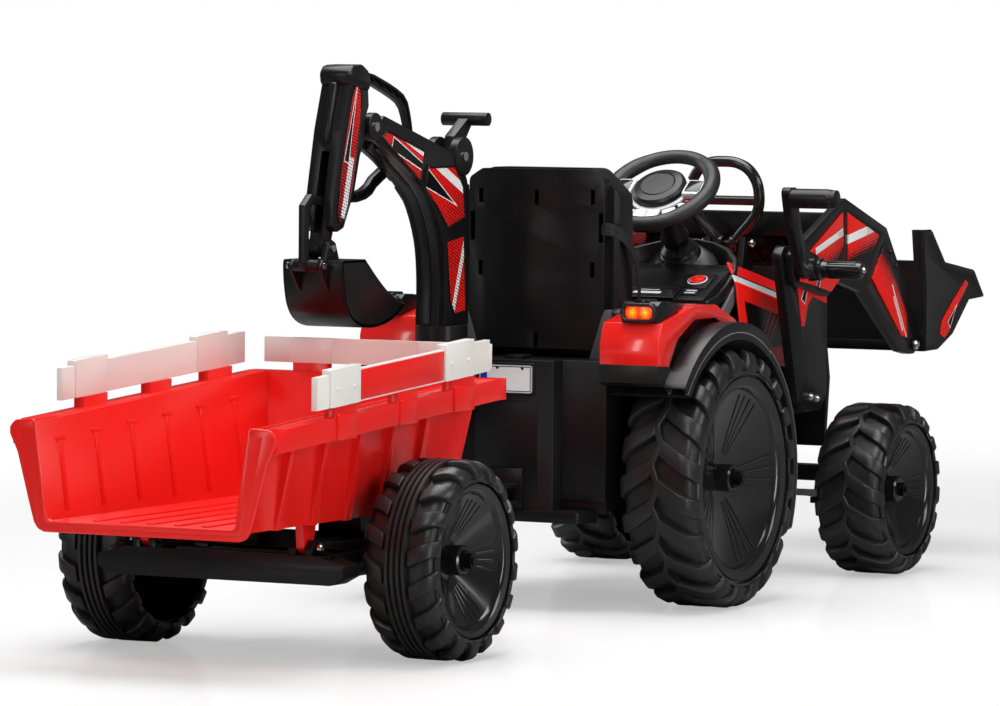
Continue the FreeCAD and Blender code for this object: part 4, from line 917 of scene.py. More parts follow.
# %% Digger bucket
SCOOP = curved([(-634, 533), (-642, 532), (-640, 500), (-630, 462), (-602, 440), (-556, 432), (-494, 440),
                (-450, 464)])
MOUTH = curved([(-450, 464), (-496, 480), (-534, 504), (-572, 533)])
inner = []
for (x0, z0), (x1, z1) in zip(SCOOP, SCOOP[1:]):
    run = math.hypot(x1 - x0, z1 - z0)
    inner.append(((x0 + x1) / 2 - (z1 - z0) / run * 4.0, (z0 + z1) / 2 + (x1 - x0) / run * 4.0))
inner = [point for point in inner if point[1] < 529]
strip = [(-572, 533)] + SCOOP + inner[::-1] + [(-638, 529), (-572, 529)]
parts = [plate("scoop_sheet", strip, 41.5, 138.5, 0.8)]
parts += [plate("scoop_cheek", SCOOP + MOUTH[1:], low, low + 4, 1.4) for low in (41.5, 134.5)]
parts += [plate("scoop_lug",
                [(-646, 520), (-633, 557), (-622, 562), (-611, 557), (-600, 533), (-600, 530), (-636, 530)],
                low, low + 9, 1.2)
          for low in (69, 102)]
parts += [plate("scoop_horn",
                [(-637, 533), (-657, 534), (-666, 525), (-661, 516), (-638, 488), (-634, 495)], low,
                low + 5, 1.2)
          for low in (64, 111)]
parts.append(pin("scoop_link_pin", -657, 525, 61, 119, 4.5))
dressed(joined("scoop_shell", parts), "digger_bucket", "black_plastic", black)
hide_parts("digger_bucket")

# %% [markdown]
# A guard loop stands on the left of the stick. It is two thin rims with a web between them, and
# short ribs in a zigzag stiffen the web. The CAD guard is cut off first with a bisecting plane.

# %% Cut the plain guard off the stick
GUARD_CUT = 0.1138
stick = bpy.data.objects["stick_moulded"]
edited(stick, bpy.ops.mesh.bisect, plane_co=(0, GUARD_CUT, 0), plane_no=(0, 1, 0), use_fill=True,
       clear_outer=True)
print("stick cut at y =", GUARD_CUT, "m:", len(stick.data.polygons), "faces left")

# %% Rims and web of the guard
GUARD_OUT = [(-543, 806), (-530, 807), (-430, 803), (-346, 780), (-308, 764), (-294, 735), (-286, 700),
             (-300, 672), (-395, 636), (-419, 617), (-470, 609), (-566, 616)]
GUARD_IN = [(-543, 792), (-530, 793), (-434, 788), (-352, 764), (-322, 752), (-308, 730), (-301, 704),
            (-310, 686), (-404, 652), (-430, 632), (-470, 624), (-566, 632)]


def between(one, two, share):
    return tuple(a + (b - a) * share for a, b in zip(one, two))


edge_out = [between(o, i, 0.28) for o, i in zip(GUARD_OUT, GUARD_IN)]
edge_in = [between(o, i, 0.72) for o, i in zip(GUARD_OUT, GUARD_IN)]
guard = [plate("guard_rim", curved(GUARD_OUT, 1) + curved(edge_out, 1)[::-1], 117.5, 127.5, 0.6),
         plate("guard_rim", curved(edge_in, 1) + curved(GUARD_IN, 1)[::-1], 117.5, 127.5, 0.6),
         plate("guard_web", curved(edge_out, 1) + curved(edge_in, 1)[::-1], 121.5, 123.5, 0.0)]
print(len(GUARD_OUT), "corners along each edge of the guard")

# %% Ribs and lugs of the guard
flip = 0
for k in range(len(GUARD_OUT) - 1):
    steps = max(1, round(math.dist(GUARD_OUT[k], GUARD_OUT[k + 1]) / 15))
    for step in range(steps):
        ends = [(between(edge_out[k], edge_out[k + 1], share), between(edge_in[k], edge_in[k + 1], share))
                for share in (step / steps, (step + 1) / steps)]
        first, last = (ends[0][0], ends[1][1]) if flip else (ends[0][1], ends[1][0])
        flip = 1 - flip
        guard.append(plate("guard_rib", [first, (first[0] + 1.6, first[1]), (last[0] + 1.6, last[1]), last],
                           118.3, 126.7, 0))
for x, z in ((-548, 807), (-574, 632)):
    guard.append(plate("guard_lug", [(x, z), (x + 24, z), (x + 24, z - 16), (x, z - 16)], 112, 127.5, 1.5))
dressed(joined("stick_guard", guard), "stick", "black_plastic", black)

# %% [markdown]
# A cap closes the stick's top, and a keel runs down its back. The cap is the digger's highest
# piece and has the wider bevel, so that its outline against the background is round.

# %% Cap and keel of the stick
cap = [plate("stick_cap",
             [(-578, 782), (-582, 800), (-570, 811), (-540, 812), (-521, 803), (-515, 786), (-520, 773)],
             64.0, 116.0, 5.0),
       plate("stick_keel", [(-566, 790), (-586, 786), (-606, 716), (-607, 700), (-585, 704)], 84, 96, 3.0)]
dressed(joined("stick_cap", cap), "stick", "black_plastic", black)

# %% [markdown]
# The boom's three windows and the stick's one have a sticker each, on both sides. A table holds
# each window's outline, the middle and slant of its pattern, and what is drawn in it.

# %% Stickers on the boom
BOOM_WINDOWS = (([(-484, 707), (-466, 717), (-349, 686), (-362, 640)], (-400, 680), -21,
                 dict(band=(19, 5, -60, 60), wedge=(-1, 9, -52, 150), dots=(0.30, 0.0, -0.004))),
                ([(-330, 662), (-254, 663), (-226, 632), (-219, 584), (-275, 569), (-303, 596), (-348, 630),
                  (-338, 668)],
                 (-290, 620), -24,
                 dict(band=(33, 7, -40, 70), wedge=(2, 13, -60, 38), dots=(0.28, 0.002, -0.001))),
                ([(-279, 552), (-222, 560), (-215, 444), (-252, 440), (-268, 463)], (-242, 500), 70,
                 dict(dots=(0.34, 0.0, 0.0), dotted=(-4, 5, -60, 60))))
for number, (points, centre, angle, pattern) in enumerate(BOOM_WINDOWS):
    decal = sticker(f"Boom sticker {number}", centre, angle, **pattern)
    for side, face, out in (("right", 65.0, -1), ("left", 115.0, 1)):
        framed(f"boom_panel_{number}_{side}", points, face, out, 2.2, 1.8, "boom", decal)

# %% Stickers on the stick
STICK_WINDOW = [(-560, 783), (-550, 783), (-542, 770), (-542, 745), (-550, 705), (-566, 640), (-590, 588),
                (-606, 584), (-613, 596), (-606, 640), (-590, 700), (-570, 765)]
stick_decal = sticker("Stick sticker", (-572, 700), 74, wedge=(5, 6, -30, 74), dots=(0.38, -0.0012, 0.0),
                      dotted=(-8, 7, -110, -20))
for side, face, out in (("right", 67.0, -1), ("left", 113.0, 1)):
    framed(f"stick_panel_{side}", STICK_WINDOW, face, out, 1.6, 1.8, "stick", stick_decal)

# %% [markdown]
# The loader arms are closed by thin sticker plates that lie in their windows. The posts below
# carry a bent wedge-shaped sticker, and its upper end runs on over the arms.

# %% Sticker plates in the loader arms
ARM_WINDOWS = (
    ([(450, 522), (576, 581), (580, 530), (548, 494)], (528, 537), 15,
     dict(band=(0, 5.5, -60, 30), dotted=(0, 6, 30, 60), dots=(-0.14, 0.0, -0.020))),
    ([(596, 580), (724, 541), (674, 481), (600, 492)], (658, 547), 9,
     dict(band=(0, 7, -70, 14), dotted=(0, 7, 14, 60), dots=(-0.2, 0.001, -0.024))),
    ([(698, 472), (745, 524), (841, 410), (846, 370), (822, 374)], (790, 430), -55,
     dict(band=(8, 1.3, -30, 90), dots=(0.10, -0.004, 0.012), dotted=(2, 2.5, -10, 60))),
)
for number, (points, centre, angle, pattern) in enumerate(ARM_WINDOWS):
    decal = sticker(f"Arm sticker {number}", centre, angle, **pattern)
    for side, y in (("left", 199.0), ("right", -202.0)):
        dressed(plate(f"arm_sticker_{number}_{side}", points, y, y + 3.0, 0.4), "loader_arms",
                "red_plastic", decal)

# %% Stickers at the arms' rear end and on the posts
REAR_STICKER = [(424, 512), (433, 512), (433, 476), (486, 476), (500, 484), (600, 484), (596, 474),
                (562, 478), (523, 456), (436, 472), (402, 476), (404, 500)]
rear_decal = sticker("Arm rear sticker", (470, 470), 60, wedge=(-2, 7, -30, 40), dots=(0.05, -0.004, 0.0))
for side, y in (("left", 204.9), ("right", -206.1)):
    dressed(plate(f"arm_rear_sticker_{side}", REAR_STICKER, y, y + 1.2, 0.3), "loader_arms", "red_plastic",
            rear_decal)
post_decal = sticker("Post sticker", (470, 470), 60, wedge=(-2, 7, -30, 40), dots=(0.05, -0.004, 0.0))
POST_STICKER = [(424, 512), (434, 508), (458, 486), (500, 486), (549, 446), (549, 436), (494, 449),
                (476, 437), (463, 402), (452, 404), (438, 454)]
for side, y in (("left", 185.9), ("right", -187.1)):
    dressed(plate(f"post_sticker_{side}", POST_STICKER, y, y + 1.2, 0.3), "tractor", "red_plastic",
            post_decal)

# %% [markdown]
# ## Loader details
# The two grips are turned: the upper one is a plain rounded sleeve and the lower one has long
# flutes. A flute is one thin block copied round the sleeve.

# %% Grips
def fluted(name, start, length, radius, flutes):
    """A grip along -Y: a flanged sleeve with long raised ridges and a domed end."""
    sleeve = turned(name + "_core",
                    [(0, 0), (radius * 1.35, 0), (radius * 1.35, 5), (radius * 1.05, 7), (radius, 14),
                     (radius * 0.96, length - 8), (radius * 0.86, length - 2), (radius * 0.6, length),
                     (0, length)],
                    56)
    ridge = block(name + "_ridge", Vector((radius - 1.2, 16, -1.5)) * MM,
                  Vector((radius + 1.3, length - 10, 1.5)) * MM, 0.7)
    parts = [sleeve]
    for i in range(flutes):
        parts.append(copied(ridge, name + "_ridge_copy", Matrix.Rotation(2 * math.pi * i / flutes, 4, "Y")))
    removed(ridge)
    grip = joined(name, parts)
    grip.data.transform(facing(Vector((0, -1, 0)), start))
    return grip


lower_grip = dressed(fluted("lift_grip_fluted", at(459, -213.5, 494), 75.5, 13.2, 16), "loader_arms",
                     "black_plastic", dark_gloss)
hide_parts("lift_grip")
bolts("grip_screw", "loader_arms", 5.0, [(459, -289.0, 494)])
sleeve = turned("dump_grip_sleeve",
                [(0, 0), (15.5, 0), (15.5, 60), (14.4, 68), (11.0, 73), (5.0, 74.5), (0, 74.5)], 48, 50)
sleeve.data.transform(facing(Vector((0, -1, 0)), at(350, -214.5, 608)))
dressed(sleeve, "dump_lever", "black_plastic", black)

# %% [markdown]
# The bucket's cheeks have a raised border, and a wedge-shaped sticker along the edge. Its back is
# stiffened by a row of upright ribs above a long band.

# %% Bucket borders and stickers
CHEEK = [(894, 347), (951, 348), (1010, 370), (1082, 426), (1146, 429), (1103, 472), (976, 489), (918, 543),
         (879, 543), (886, 500), (894, 450)]
for side, face, out in (("right", -212.0, -1), ("left", 212.0, 1)):
    framed(f"cheek_border_{side}", CHEEK, face, out, 9.0, 2.4, "loader_bucket", black)
wedge_decal = sticker("Bucket sticker", (1000, 395), 45, wedge=(-3, 6, -10, 30), dots=(0.0, 0.0, 0.0))
WEDGE = [(1078, 452), (1064, 458), (1008, 424), (964, 394), (956, 372), (976, 364), (1000, 378),
         (1022, 408)]
for side, y in (("left", 213.0), ("right", -213.9)):
    dressed(plate(f"bucket_sticker_{side}", WEDGE, y, y + 0.9, 0.3), "loader_bucket", "red_plastic",
            wedge_decal)

# %% Ribs on the bucket's back
ribs = [block("bucket_rib", at(888.5, y - 3, 452), at(893.5, y + 3, 492), 1.0)
        for y in range(-165, 166, 55)]
ribs.append(block("bucket_band", at(889.5, -205, 350), at(893.5, 205, 362), 1.0))
dressed(joined("bucket_back_ribs", ribs), "loader_bucket", "black_plastic", black)

# %% [markdown]
# ## Hood
# The hood is one glossy red skin. Its white band, thin black line, black side panel and slanted
# stripes are all painted by the shader, from heights measured along the hood's sloping edge.

# %% Hood finish
EDGE_FROM_X, EDGE_SLOPE = 355.0, 0.187
WHITE_BAND, THIN_LINE = (478.0, 5.5), (484.8, 1.3)
STRIPE_SLOPE, STRIPE_PITCH, STRIPE_SHARE = 0.836, 17.0, 0.26


def hood_finish():
    """A band is (its height at EDGE_FROM_X, half its width) and falls with the edge."""
    finish = Finish("Hood plastic", (0.80, 0.011, 0.008), 0.22, Specular_IOR_Level=0.35)
    x, y, z = finish.axes()
    edge = z + (x - EDGE_FROM_X) * EDGE_SLOPE
    side = y.math("ABSOLUTE") > 80.0
    band = edge.near(*WHITE_BAND) * side
    line = edge.near(*THIN_LINE) * side
    left = x - (447.0 - z) * 0.23
    panel = (left > 359.0) * (left < 560.0) * (edge < 446.0) * (z + x * 0.03 > 381.0)
    slant = z - x * STRIPE_SLOPE
    stripes = ((slant + 400.0) * (1 / STRIPE_PITCH)).fract() < STRIPE_SHARE
    stripes = stripes * slant.near(13.0, 30.0) * (z < 432.0)
    paint = finish.mix(finish.noise(7.0), (0.76, 0.010, 0.007), (0.83, 0.014, 0.010))
    paint = finish.mix(panel, paint, (0.005, 0.005, 0.0055))
    paint = finish.mix(panel * stripes, paint, (0.50, 0.012, 0.010))
    paint = finish.mix(band, paint, (0.55, 0.56, 0.57))
    paint = finish.mix(line, paint, (0.005, 0.005, 0.0055))
    finish.set("Base Color", paint)
    finish.set("Roughness", finish.noise(30.0, 3.0) * 0.06 + 0.19)
    finish.bump(finish.noise(45.0), 0.05 * MM)
    return finish.material


print("helper: hood_finish")

# %% [markdown]
# The skin is open at the back where the dash fits in. It is modelled as an open sheet: a grid
# with six points across and five along is bent into the section, its rear top is removed, and
# Solidify gives it the wall of a moulding.

# %% Hood skin as a bent grid
def hood_section(share):
    """Half section of the hood from low edge to top edge, share 0 at the back and 1 at the nose."""
    def between(a, b):
        return a + (b - a) * share
    return [(between(136, 122), between(357, 308)), (between(128, 112), between(470, 405)),
            (between(104, 88), between(506, 441))]


only()
bpy.ops.mesh.primitive_grid_add(x_subdivisions=4, y_subdivisions=5, size=1)
hood = named("hood_skin")
REAR_X, NOTCH_X, NOSE_X = (345, 330, 350), 446, 701
SHELL_REAR_X, SHELL_NOSE_X, HOOD_WALL = 355, 702, 4
rows = sorted({round(v.co.x, 4) for v in hood.data.vertices})
columns = sorted({round(v.co.y, 4) for v in hood.data.vertices})
for vertex in hood.data.vertices:
    row = rows.index(round(vertex.co.x, 4))
    column = columns.index(round(vertex.co.y, 4))
    level = min(column, 5 - column)
    x = (REAR_X[level], NOTCH_X, 573, 688, NOSE_X)[row]
    y, z = hood_section((x - SHELL_REAR_X) / (SHELL_NOSE_X - SHELL_REAR_X))[level]
    vertex.co = at(x, y if column > 2 else -y, z)
print("hood grid:", len(rows), "rows,", len(columns), "columns")

# %% Open the rear top and thicken the skin
only(hood)
bpy.ops.object.mode_set(mode="EDIT")
bpy.ops.mesh.select_all(action="DESELECT")
bpy.ops.object.mode_set(mode="OBJECT")
for polygon in hood.data.polygons:
    polygon.select = abs(polygon.center.y) < 20 * MM and polygon.center.x < at(440, 0, 0).x
bpy.ops.object.mode_set(mode="EDIT")
bpy.ops.mesh.select_mode(type="FACE")
bpy.ops.mesh.delete(type="FACE")
bpy.ops.mesh.select_all(action="SELECT")
bpy.ops.mesh.normals_make_consistent(inside=False)
bpy.ops.object.mode_set(mode="OBJECT")
crown = max(hood.data.polygons, key=lambda polygon: polygon.center.z)
if crown.normal.z < 0:
    hood.data.flip_normals()
modified(hood, "SOLIDIFY", thickness=HOOD_WALL * MM, offset=-1)
rounded(hood, 5.0, 4, angle=14, smooth=50)
dressed(hood, "tractor", "red_plastic", hood_finish())
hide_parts("hood")
print("hood skin:", len(hood.data.polygons), "faces")

# %% [markdown]
# A short grey strut stands against each side of the hood. Both are one small outline, extruded.

# %% Struts beside the hood
strut = [plate("hood_strut", [(270, 414), (288, 400), (360, 462), (350, 480)], s * 120.5 - 3, s * 120.5 + 3,
               1.2)
         for s in (-1, 1)]
dressed(joined("hood_struts", strut), "tractor", "silver_plastic",
        plastic("Grey strut plastic", (0.10, 0.10, 0.105), 0.38, 900.0, 0.05))

# %% [markdown]
# ## Steering wheel
# The wheel is modelled lying flat about its own axis and then tilted onto the column. One matrix
# does that for every piece of it.

# %% The wheel's own place and slant
HUB = at(318, 0, 618)
RAKE = math.radians(37.0)
UP_PLANE = Vector((math.cos(RAKE), 0, math.sin(RAKE)))
TO_DRIVER = Vector((-math.sin(RAKE), 0, math.cos(RAKE)))
TILT = Matrix((UP_PLANE, TO_DRIVER, UP_PLANE.cross(TO_DRIVER))).transposed().to_4x4()
WHEEL = Matrix.Translation(HUB) @ TILT


def local_block(name, x, y, z, width, turn=None):
    piece = block(name, Vector((x[0], y[0], z[0])) * MM, Vector((x[1], y[1], z[1])) * MM, width)
    if turn:
        piece.data.transform(turn)
    return piece


def on_wheel(piece, body, slot, *materials):
    piece.data.transform(WHEEL)
    return dressed(piece, body, slot, *materials)


print("wheel tilted by", round(math.degrees(RAKE)), "degrees")

# %% [markdown]
# The rim is a spun oval with four thicker grips. The grips are perforated: small round dimples
# in rows, made by the shader from two repeating coordinates, and painted darker as painted shade.

# %% Rim and perforated grip
def grip_finish():
    finish = Finish("Perforated grip", (0.011, 0.011, 0.012), 0.5)
    x, y, z = finish.axes()
    outer = y.math("ABSOLUTE") > 46.0
    u, v = x * 0.42 + z * 0.32, y * 0.5
    dots = ((u.fract() - 0.5) * (u.fract() - 0.5) + (v.fract() - 0.5) * (v.fract() - 0.5)) < 0.055
    shaded_holes = dots * outer
    # The dimples are painted darker than the grip: painted shade inside them.
    finish.set("Base Color", finish.mix(shaded_holes, (0.0125, 0.0125, 0.0135), (0.004, 0.004, 0.004)))
    finish.set("Roughness", finish.noise(50.0, 3.0) * 0.1 + 0.40)
    finish.bump(shaded_holes * -1.0, 0.6 * MM)
    return finish.material


RING_RADIUS, RING_HALF_WIDTH, RING_HALF_HEIGHT = 85, 12.6, 11.6
turns = [2 * math.pi * i / 18 for i in range(18)]
circle = [(RING_RADIUS + RING_HALF_WIDTH * math.cos(a), RING_HALF_HEIGHT * math.sin(a)) for a in turns]
wheel_ring = turned("wheel_ring", circle, 96, 60)
for vertex in wheel_ring.data.vertices:
    angle = math.atan2(vertex.co.z, vertex.co.x)
    grip = max(0.0, abs(math.sin(angle)) - 0.55) / 0.45
    radial = Vector((math.cos(angle), 0, math.sin(angle))) * RING_RADIUS * MM
    vertex.co = radial + (vertex.co - radial) * (0.93 + 0.12 * min(1.0, grip * 2.2))
on_wheel(wheel_ring, "steering", "black_plastic", grip_finish())
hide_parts("steering_rim")

# %% [markdown]
# The pad in the middle is a spun dome on a short column. It stays bare.

# %% Pad
pad = turned("wheel_pad",
             [(0, 12.5), (26, 12.2), (27.5, 11.2), (29, 12.0), (39, 10.0), (43.5, 6.5), (44.5, 1.0),
              (43, -4), (30, -16), (21, -24), (19.5, -30), (19.5, -84), (23, -92), (23, -95), (0, -95)],
             80, 24)
on_wheel(pad, "steering", "black_plastic", black)
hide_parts("steering_hub")

# %% [markdown]
# The spokes carry a silver bezel with a black button each, red strips, and a row of white keys
# towards the driver. They are rounded blocks in the wheel's own coordinates.

# %% Spokes, bezels and horn buttons
bezel_ring = turned("pad_bezel", [(43.5, -1), (49.0, -2.5), (49.5, -5.5), (43.5, -6)], 72, 40)
trim = [bezel_ring]
dark = []
for sign in (-1, 1):
    trim.append(local_block("button_bezel", (-17, 19), (-6, 7.5), sorted((sign * 44, sign * 78)), 3.5))
    dark.append(local_block("spoke_root", (-17, 12), (-13, -5), sorted((sign * 24, sign * 82)), 2.5))
    cap = local_block(f"horn_cap_{sign}", (-13, 15), (-1.5, 9.2), sorted((sign * 48, sign * 74)), 3.0)
    side = "right" if sign > 0 else "left"
    on_wheel(cap, f"horn_button_{side}", "black_plastic", dark_gloss)
    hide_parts(f"wheel_button_{side}")
dark.append(local_block("lower_spoke", (-82, -36), (-14, -6), (-40, 40), 3.0))
on_wheel(joined("wheel_trim", trim), "steering", "silver_plastic", silver)
on_wheel(joined("wheel_spokes", dark), "steering", "black_plastic", black)

# %% Red strips and white keys
strips = [local_block("red_strip", (-24, -20), (-7, -3), sorted((s * 50, s * 72)), 1.0) for s in (-1, 1)]
on_wheel(joined("wheel_red_strips", strips), "steering", "red_plastic", red)
keys = [local_block("wheel_key", (-68, -47), (-8, -1.5), (z - 10.2, z + 10.2), 1.2) for z in (-36, -14, 8)]
slanted = Matrix.Translation(Vector((-52, 0, 35)) * MM) @ Matrix.Rotation(math.radians(28), 4, "Y")
keys.append(local_block("wheel_key", (-9, 9), (-8, -1.5), (-11, 11), 1.2, slanted))
on_wheel(joined("wheel_keys", keys), "steering", "white_plastic", off_white)

# %% [markdown]
# ## Seat
# The seat's shell is a softened CAD piece. Two dark grey brackets stand at its back: outlines
# that face along X, mirrored by reading the corners backwards so that the faces stay outwards.

# %% Plates that face the back
def facing_plate(name, points, x_low, x_high):
    """A plate that faces along X, from (y, z) points."""
    piece = set_outline(name, [at(x_low, y, z) for y, z in points], "NGON")
    move = {"value": ((x_high - x_low) * MM, 0, 0)}
    edited(piece, bpy.ops.mesh.extrude_region_move, TRANSFORM_OT_translate=move)
    return outward(piece)


print("helper: facing_plate")

# %% Seat brackets
dark_grey = plastic("Dark grey plastic", (0.075, 0.075, 0.08), 0.42, 900.0, 0.05)
back_x = (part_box("seat_back")[0][0] - AXLE_X) / MM
BRACKET = ((90, 366), (112, 436), (118, 448), (128, 448), (131, 436), (131, 366))
brackets = [facing_plate("seat_bracket", [(s * y, z) for y, z in BRACKET][::s], back_x - 5, back_x + 12)
            for s in (-1, 1)]
for bracket in brackets:
    rounded(bracket, 1.5, 2)
print("seat back's rear face at x", round(back_x, 1))
dressed(joined("seat_brackets", brackets), "tractor", "black_plastic", dark_grey)

# %% [markdown]
# A strap comes out of the slot in the seat's side and hangs down in front. It is a narrow grid
# whose rows are laid along a sagging line; Subdivision rounds the sag and Solidify gives the
# thickness. The weave is two crossed waves in its bump, and the same waves paint its colour
# lighter on the raised threads and darker between them, which is painted shade.

# %% Strap
def webbing(name):
    finish = Finish(name, (0.012, 0.012, 0.013), 0.7, Specular_IOR_Level=0.3)
    x, y, z = finish.axes()
    over = ((x + z) * 0.35 + y * 0.35).math("SINE") * ((x + z) * 0.35 - y * 0.35).math("SINE")
    # The colour follows the weave's height, lighter on top and darker between the threads: painted shade.
    finish.set("Base Color", finish.mix(over * 0.5 + 0.5, (0.006, 0.006, 0.0065), (0.020, 0.020, 0.021)))
    finish.bump(over, 0.35 * MM)
    return finish.material


strap_weave = webbing("Woven strap")
STRAP_HALF_WIDTH = 9.5


def ribbon(name, rows, thickness):
    """A strap through (x, y, z, direction across it) rows."""
    only()
    bpy.ops.mesh.primitive_grid_add(x_subdivisions=1, y_subdivisions=len(rows) - 1, size=1)
    piece = named(name)
    levels = sorted({round(v.co.y, 4) for v in piece.data.vertices})
    for vertex in piece.data.vertices:
        x, y, z, across = rows[levels.index(round(vertex.co.y, 4))]
        side = STRAP_HALF_WIDTH * MM * (1 if vertex.co.x > 0 else -1)
        vertex.co = at(x, y, z) + Vector(across).normalized() * side
    modified(piece, "SUBSURF", levels=2)
    modified(piece, "SOLIDIFY", thickness=thickness * MM, offset=0)
    return rounded(piece, 0.4, 1)


hang = [(-104, -104, 568, (0.1, 0, 1)), (-114, -117, 569, (0.1, 0, 1)), (-108, -131, 567, (0.1, 0, 1)),
        (-84, -136, 556, (0.35, 0, 1)), (-62, -138, 536, (0.6, 0.1, 0.8)),
        (-46, -139, 508, (0.9, 0.2, 0.4)), (-38, -138, 474, (1, 0.3, 0.2)), (-34, -134, 440, (1, 0.2, 0.1)),
        (-26, -128, 412, (1, 0.1, 0.1))]
dressed(ribbon("seat_strap", hang, 1.8), "tractor", "webbing", strap_weave)
painted("seat_belt", strap_weave)

# %% [markdown]
# ## Tail lamps and number plate
# A lamp is a dark pod with a rounded bezel in front of it. The bezel is an outline with round
# corners, and its front face is inset and pushed back into a pocket for the lens.

# %% Round-cornered outline and pocket
def pill(y_low, y_high, z_low, z_high, radius):
    """Corner points of a rectangle with round corners, seen from behind."""
    spots = []
    for cy, cz, start in ((y_high - radius, z_high - radius, 0), (y_low + radius, z_high - radius, 90),
                          (y_low + radius, z_low + radius, 180), (y_high - radius, z_low + radius, 270)):
        for step in range(6):
            turn = math.radians(start + 18 * step)
            spots.append((cy + radius * math.cos(turn), cz + radius * math.sin(turn)))
    return spots


def bezel(name, low, high, border, depth, axis, sign, width=2.0):
    return pocketed(block(name, low, high), axis, sign, border, depth, width)


def pocketed(piece, axis, sign, border, depth, width):
    """The one face named by its axis and sign is inset and pushed back into a pocket."""
    only(piece)
    face = max(piece.data.polygons, key=lambda polygon: polygon.normal[axis] * sign * (polygon.area ** 0.2))
    for polygon in piece.data.polygons:
        polygon.select = polygon.index == face.index
    for edge in piece.data.edges:
        edge.select = False
    for vertex in piece.data.vertices:
        vertex.select = vertex.index in set(face.vertices)
    bpy.ops.object.mode_set(mode="EDIT")
    bpy.ops.mesh.select_mode(type="FACE")
    bpy.ops.mesh.inset(thickness=border * MM, depth=0)
    push = Vector((0, 0, 0))
    push[axis] = -sign * depth * MM
    bpy.ops.mesh.extrude_region_move(TRANSFORM_OT_translate={"value": push})
    bpy.ops.object.mode_set(mode="OBJECT")
    return rounded(piece, width, 3)


print("helpers: pill, bezel, pocketed")

# %% [markdown]
# Behind the red lens two bulbs glow amber. Each bulb is a soft spot round a centre, and a fine
# ripple in the bump is the lens's prism pattern.

# %% Lens finish
BULBS, BULB_Z, BULB_REACH = (203.5, 224.5), 449.5, 12.5


def lamp_glow():
    finish = Finish("Tail lamp lens", (0.62, 0.010, 0.006), 0.12, Coat_Weight=0.5)
    _, y, z = finish.axes()
    side = y.math("ABSOLUTE")
    rise = z - BULB_Z
    share = None
    for centre in BULBS:
        off = side - centre
        spread = (off * off + rise * rise).math("SQRT")
        glow = finish.node("ShaderNodeMapRange", {"interpolation_type": "SMOOTHSTEP"},
                           {"Value": spread, "From Min": 0.0, "From Max": BULB_REACH, "To Min": 1.0,
                            "To Max": 0.0})
        share = glow if share is None else share + glow
    core = finish.mix(share, (0.75, 0.01, 0.0), (1.0, 0.34, 0.0))
    core = finish.mix((share > 0.9) * 0.8, core, (1.0, 0.62, 0.05))
    finish.set("Base Color", finish.mix(share, (0.60, 0.010, 0.006), (0.9, 0.2, 0.01)))
    finish.set("Emission Color", core)
    finish.set("Emission Strength", 0.85)
    finish.bump((side * 0.55).math("SINE") * (z * 0.55).math("SINE"), 0.3 * MM)
    return finish.material


print("bulbs", BULBS, "mm from the middle plane")

# %% Lenses
lenses = [facing_plate("lamp_lens", pill(min(s * 191, s * 237), max(s * 191, s * 237), 440, 459, 7.5), -199,
                       -190)
          for s in (-1, 1)]
dressed(rounded(joined("lamp_lenses", lenses), 1.5, 2), "tractor", "lamp_red", lamp_glow())
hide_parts("tail_lamp_lenses")

# %% Lamp pods
pods = []
for s in (-1, 1):
    ends = sorted((s * 186.5, s * 241.5))
    pods.append(pocketed(facing_plate("lamp_bezel", pill(ends[0] - 1, ends[1] + 1, 435, 464, 11), -202.5,
                                      -190),
                         0, -1, 5.2, 6.0, 1.2))
    ends = sorted((s * 200, s * 226))
    pods.append(block("lamp_cap", at(-188, ends[0], 463), at(-160, ends[1], 469), 2.0))
    ends = sorted((s * 192, s * 238))
    pods.append(plate("lamp_wedge", [(-146, 444), (-146, 465), (-126, 463), (-92, 457), (-100, 452)], *ends,
                      1.5))
dressed(joined("lamp_pods", pods), "tractor", "black_plastic", dark_gloss)

# %% [markdown]
# The plate is bare, white with a black line round it and a blue end. The line is the difference
# of two rectangles, so the shader only compares heights and widths.

# %% Number plate
PLATE_Z = 345.5
LINE_INSIDE, LINE_OUTSIDE = (40.6, 17.4), (42.0, 18.8)


def plate_finish():
    finish = Finish("Number plate", (0.78, 0.78, 0.77), 0.3, Coat_Weight=0.2)
    _, y, z = finish.axes()
    high = z - PLATE_Z
    line, outer = ((y.math("ABSOLUTE") > half_width) + (high.math("ABSOLUTE") > half_height)
                   for half_width, half_height in (LINE_INSIDE, LINE_OUTSIDE))
    paint = finish.mix(y > 31.0, (0.78, 0.78, 0.77), (0.01, 0.03, 0.55))
    paint = finish.mix(line, paint, (0.015, 0.015, 0.015))
    finish.set("Base Color", finish.mix(outer, paint, (0.6, 0.6, 0.6)))
    finish.set("Roughness", finish.noise(50.0) * 0.08 + 0.26)
    finish.bump(finish.noise(70.0), 0.03 * MM)
    return finish.material


painted("number_plate", plate_finish())
surround = bezel("plate_surround", at(-209.4, -47.5, 321.5), at(-205.5, 47.5, 369.5), 3.0, 1.5, 0, -1, 0.8)
dressed(surround, "tractor", "black_plastic", black)
bolts("plate_screws", "tractor", 2.4, [(-209.5, y, 362, (-1, 0, 0)) for y in (-28, 14)], black,
      "black_plastic")

# %% [markdown]
# The flat black walls below the seat are broken up by low rails and pads, and the step between
# the rear wheels by a row of tread bars.

# %% Body seams, column rails and step tread
seams = []
for s in (-1, 1):
    seams.append(block("body_rail", at(-170.5, s * 146 - 3, 176), at(-163, s * 146 + 3, 368), 1.2))
    seams.append(block("body_pad", at(-169.8, s * 112 - 20, 196), at(-164, s * 112 + 20, 352), 1.5))
seams.append(block("column_pad", at(-207.6, -52, 176), at(-202, 52, 312), 1.5))
seams.append(block("column_clip", at(-186, -14, 371), at(-150, 14, 380), 1.5))
for i in range(8):
    seams.append(block("step_tread", at(-214 + i * 5.4, -118, 149), at(-211.6 + i * 5.4, 118, 151.2), 0.5))
dressed(joined("body_details", seams), "tractor", "black_plastic", black)

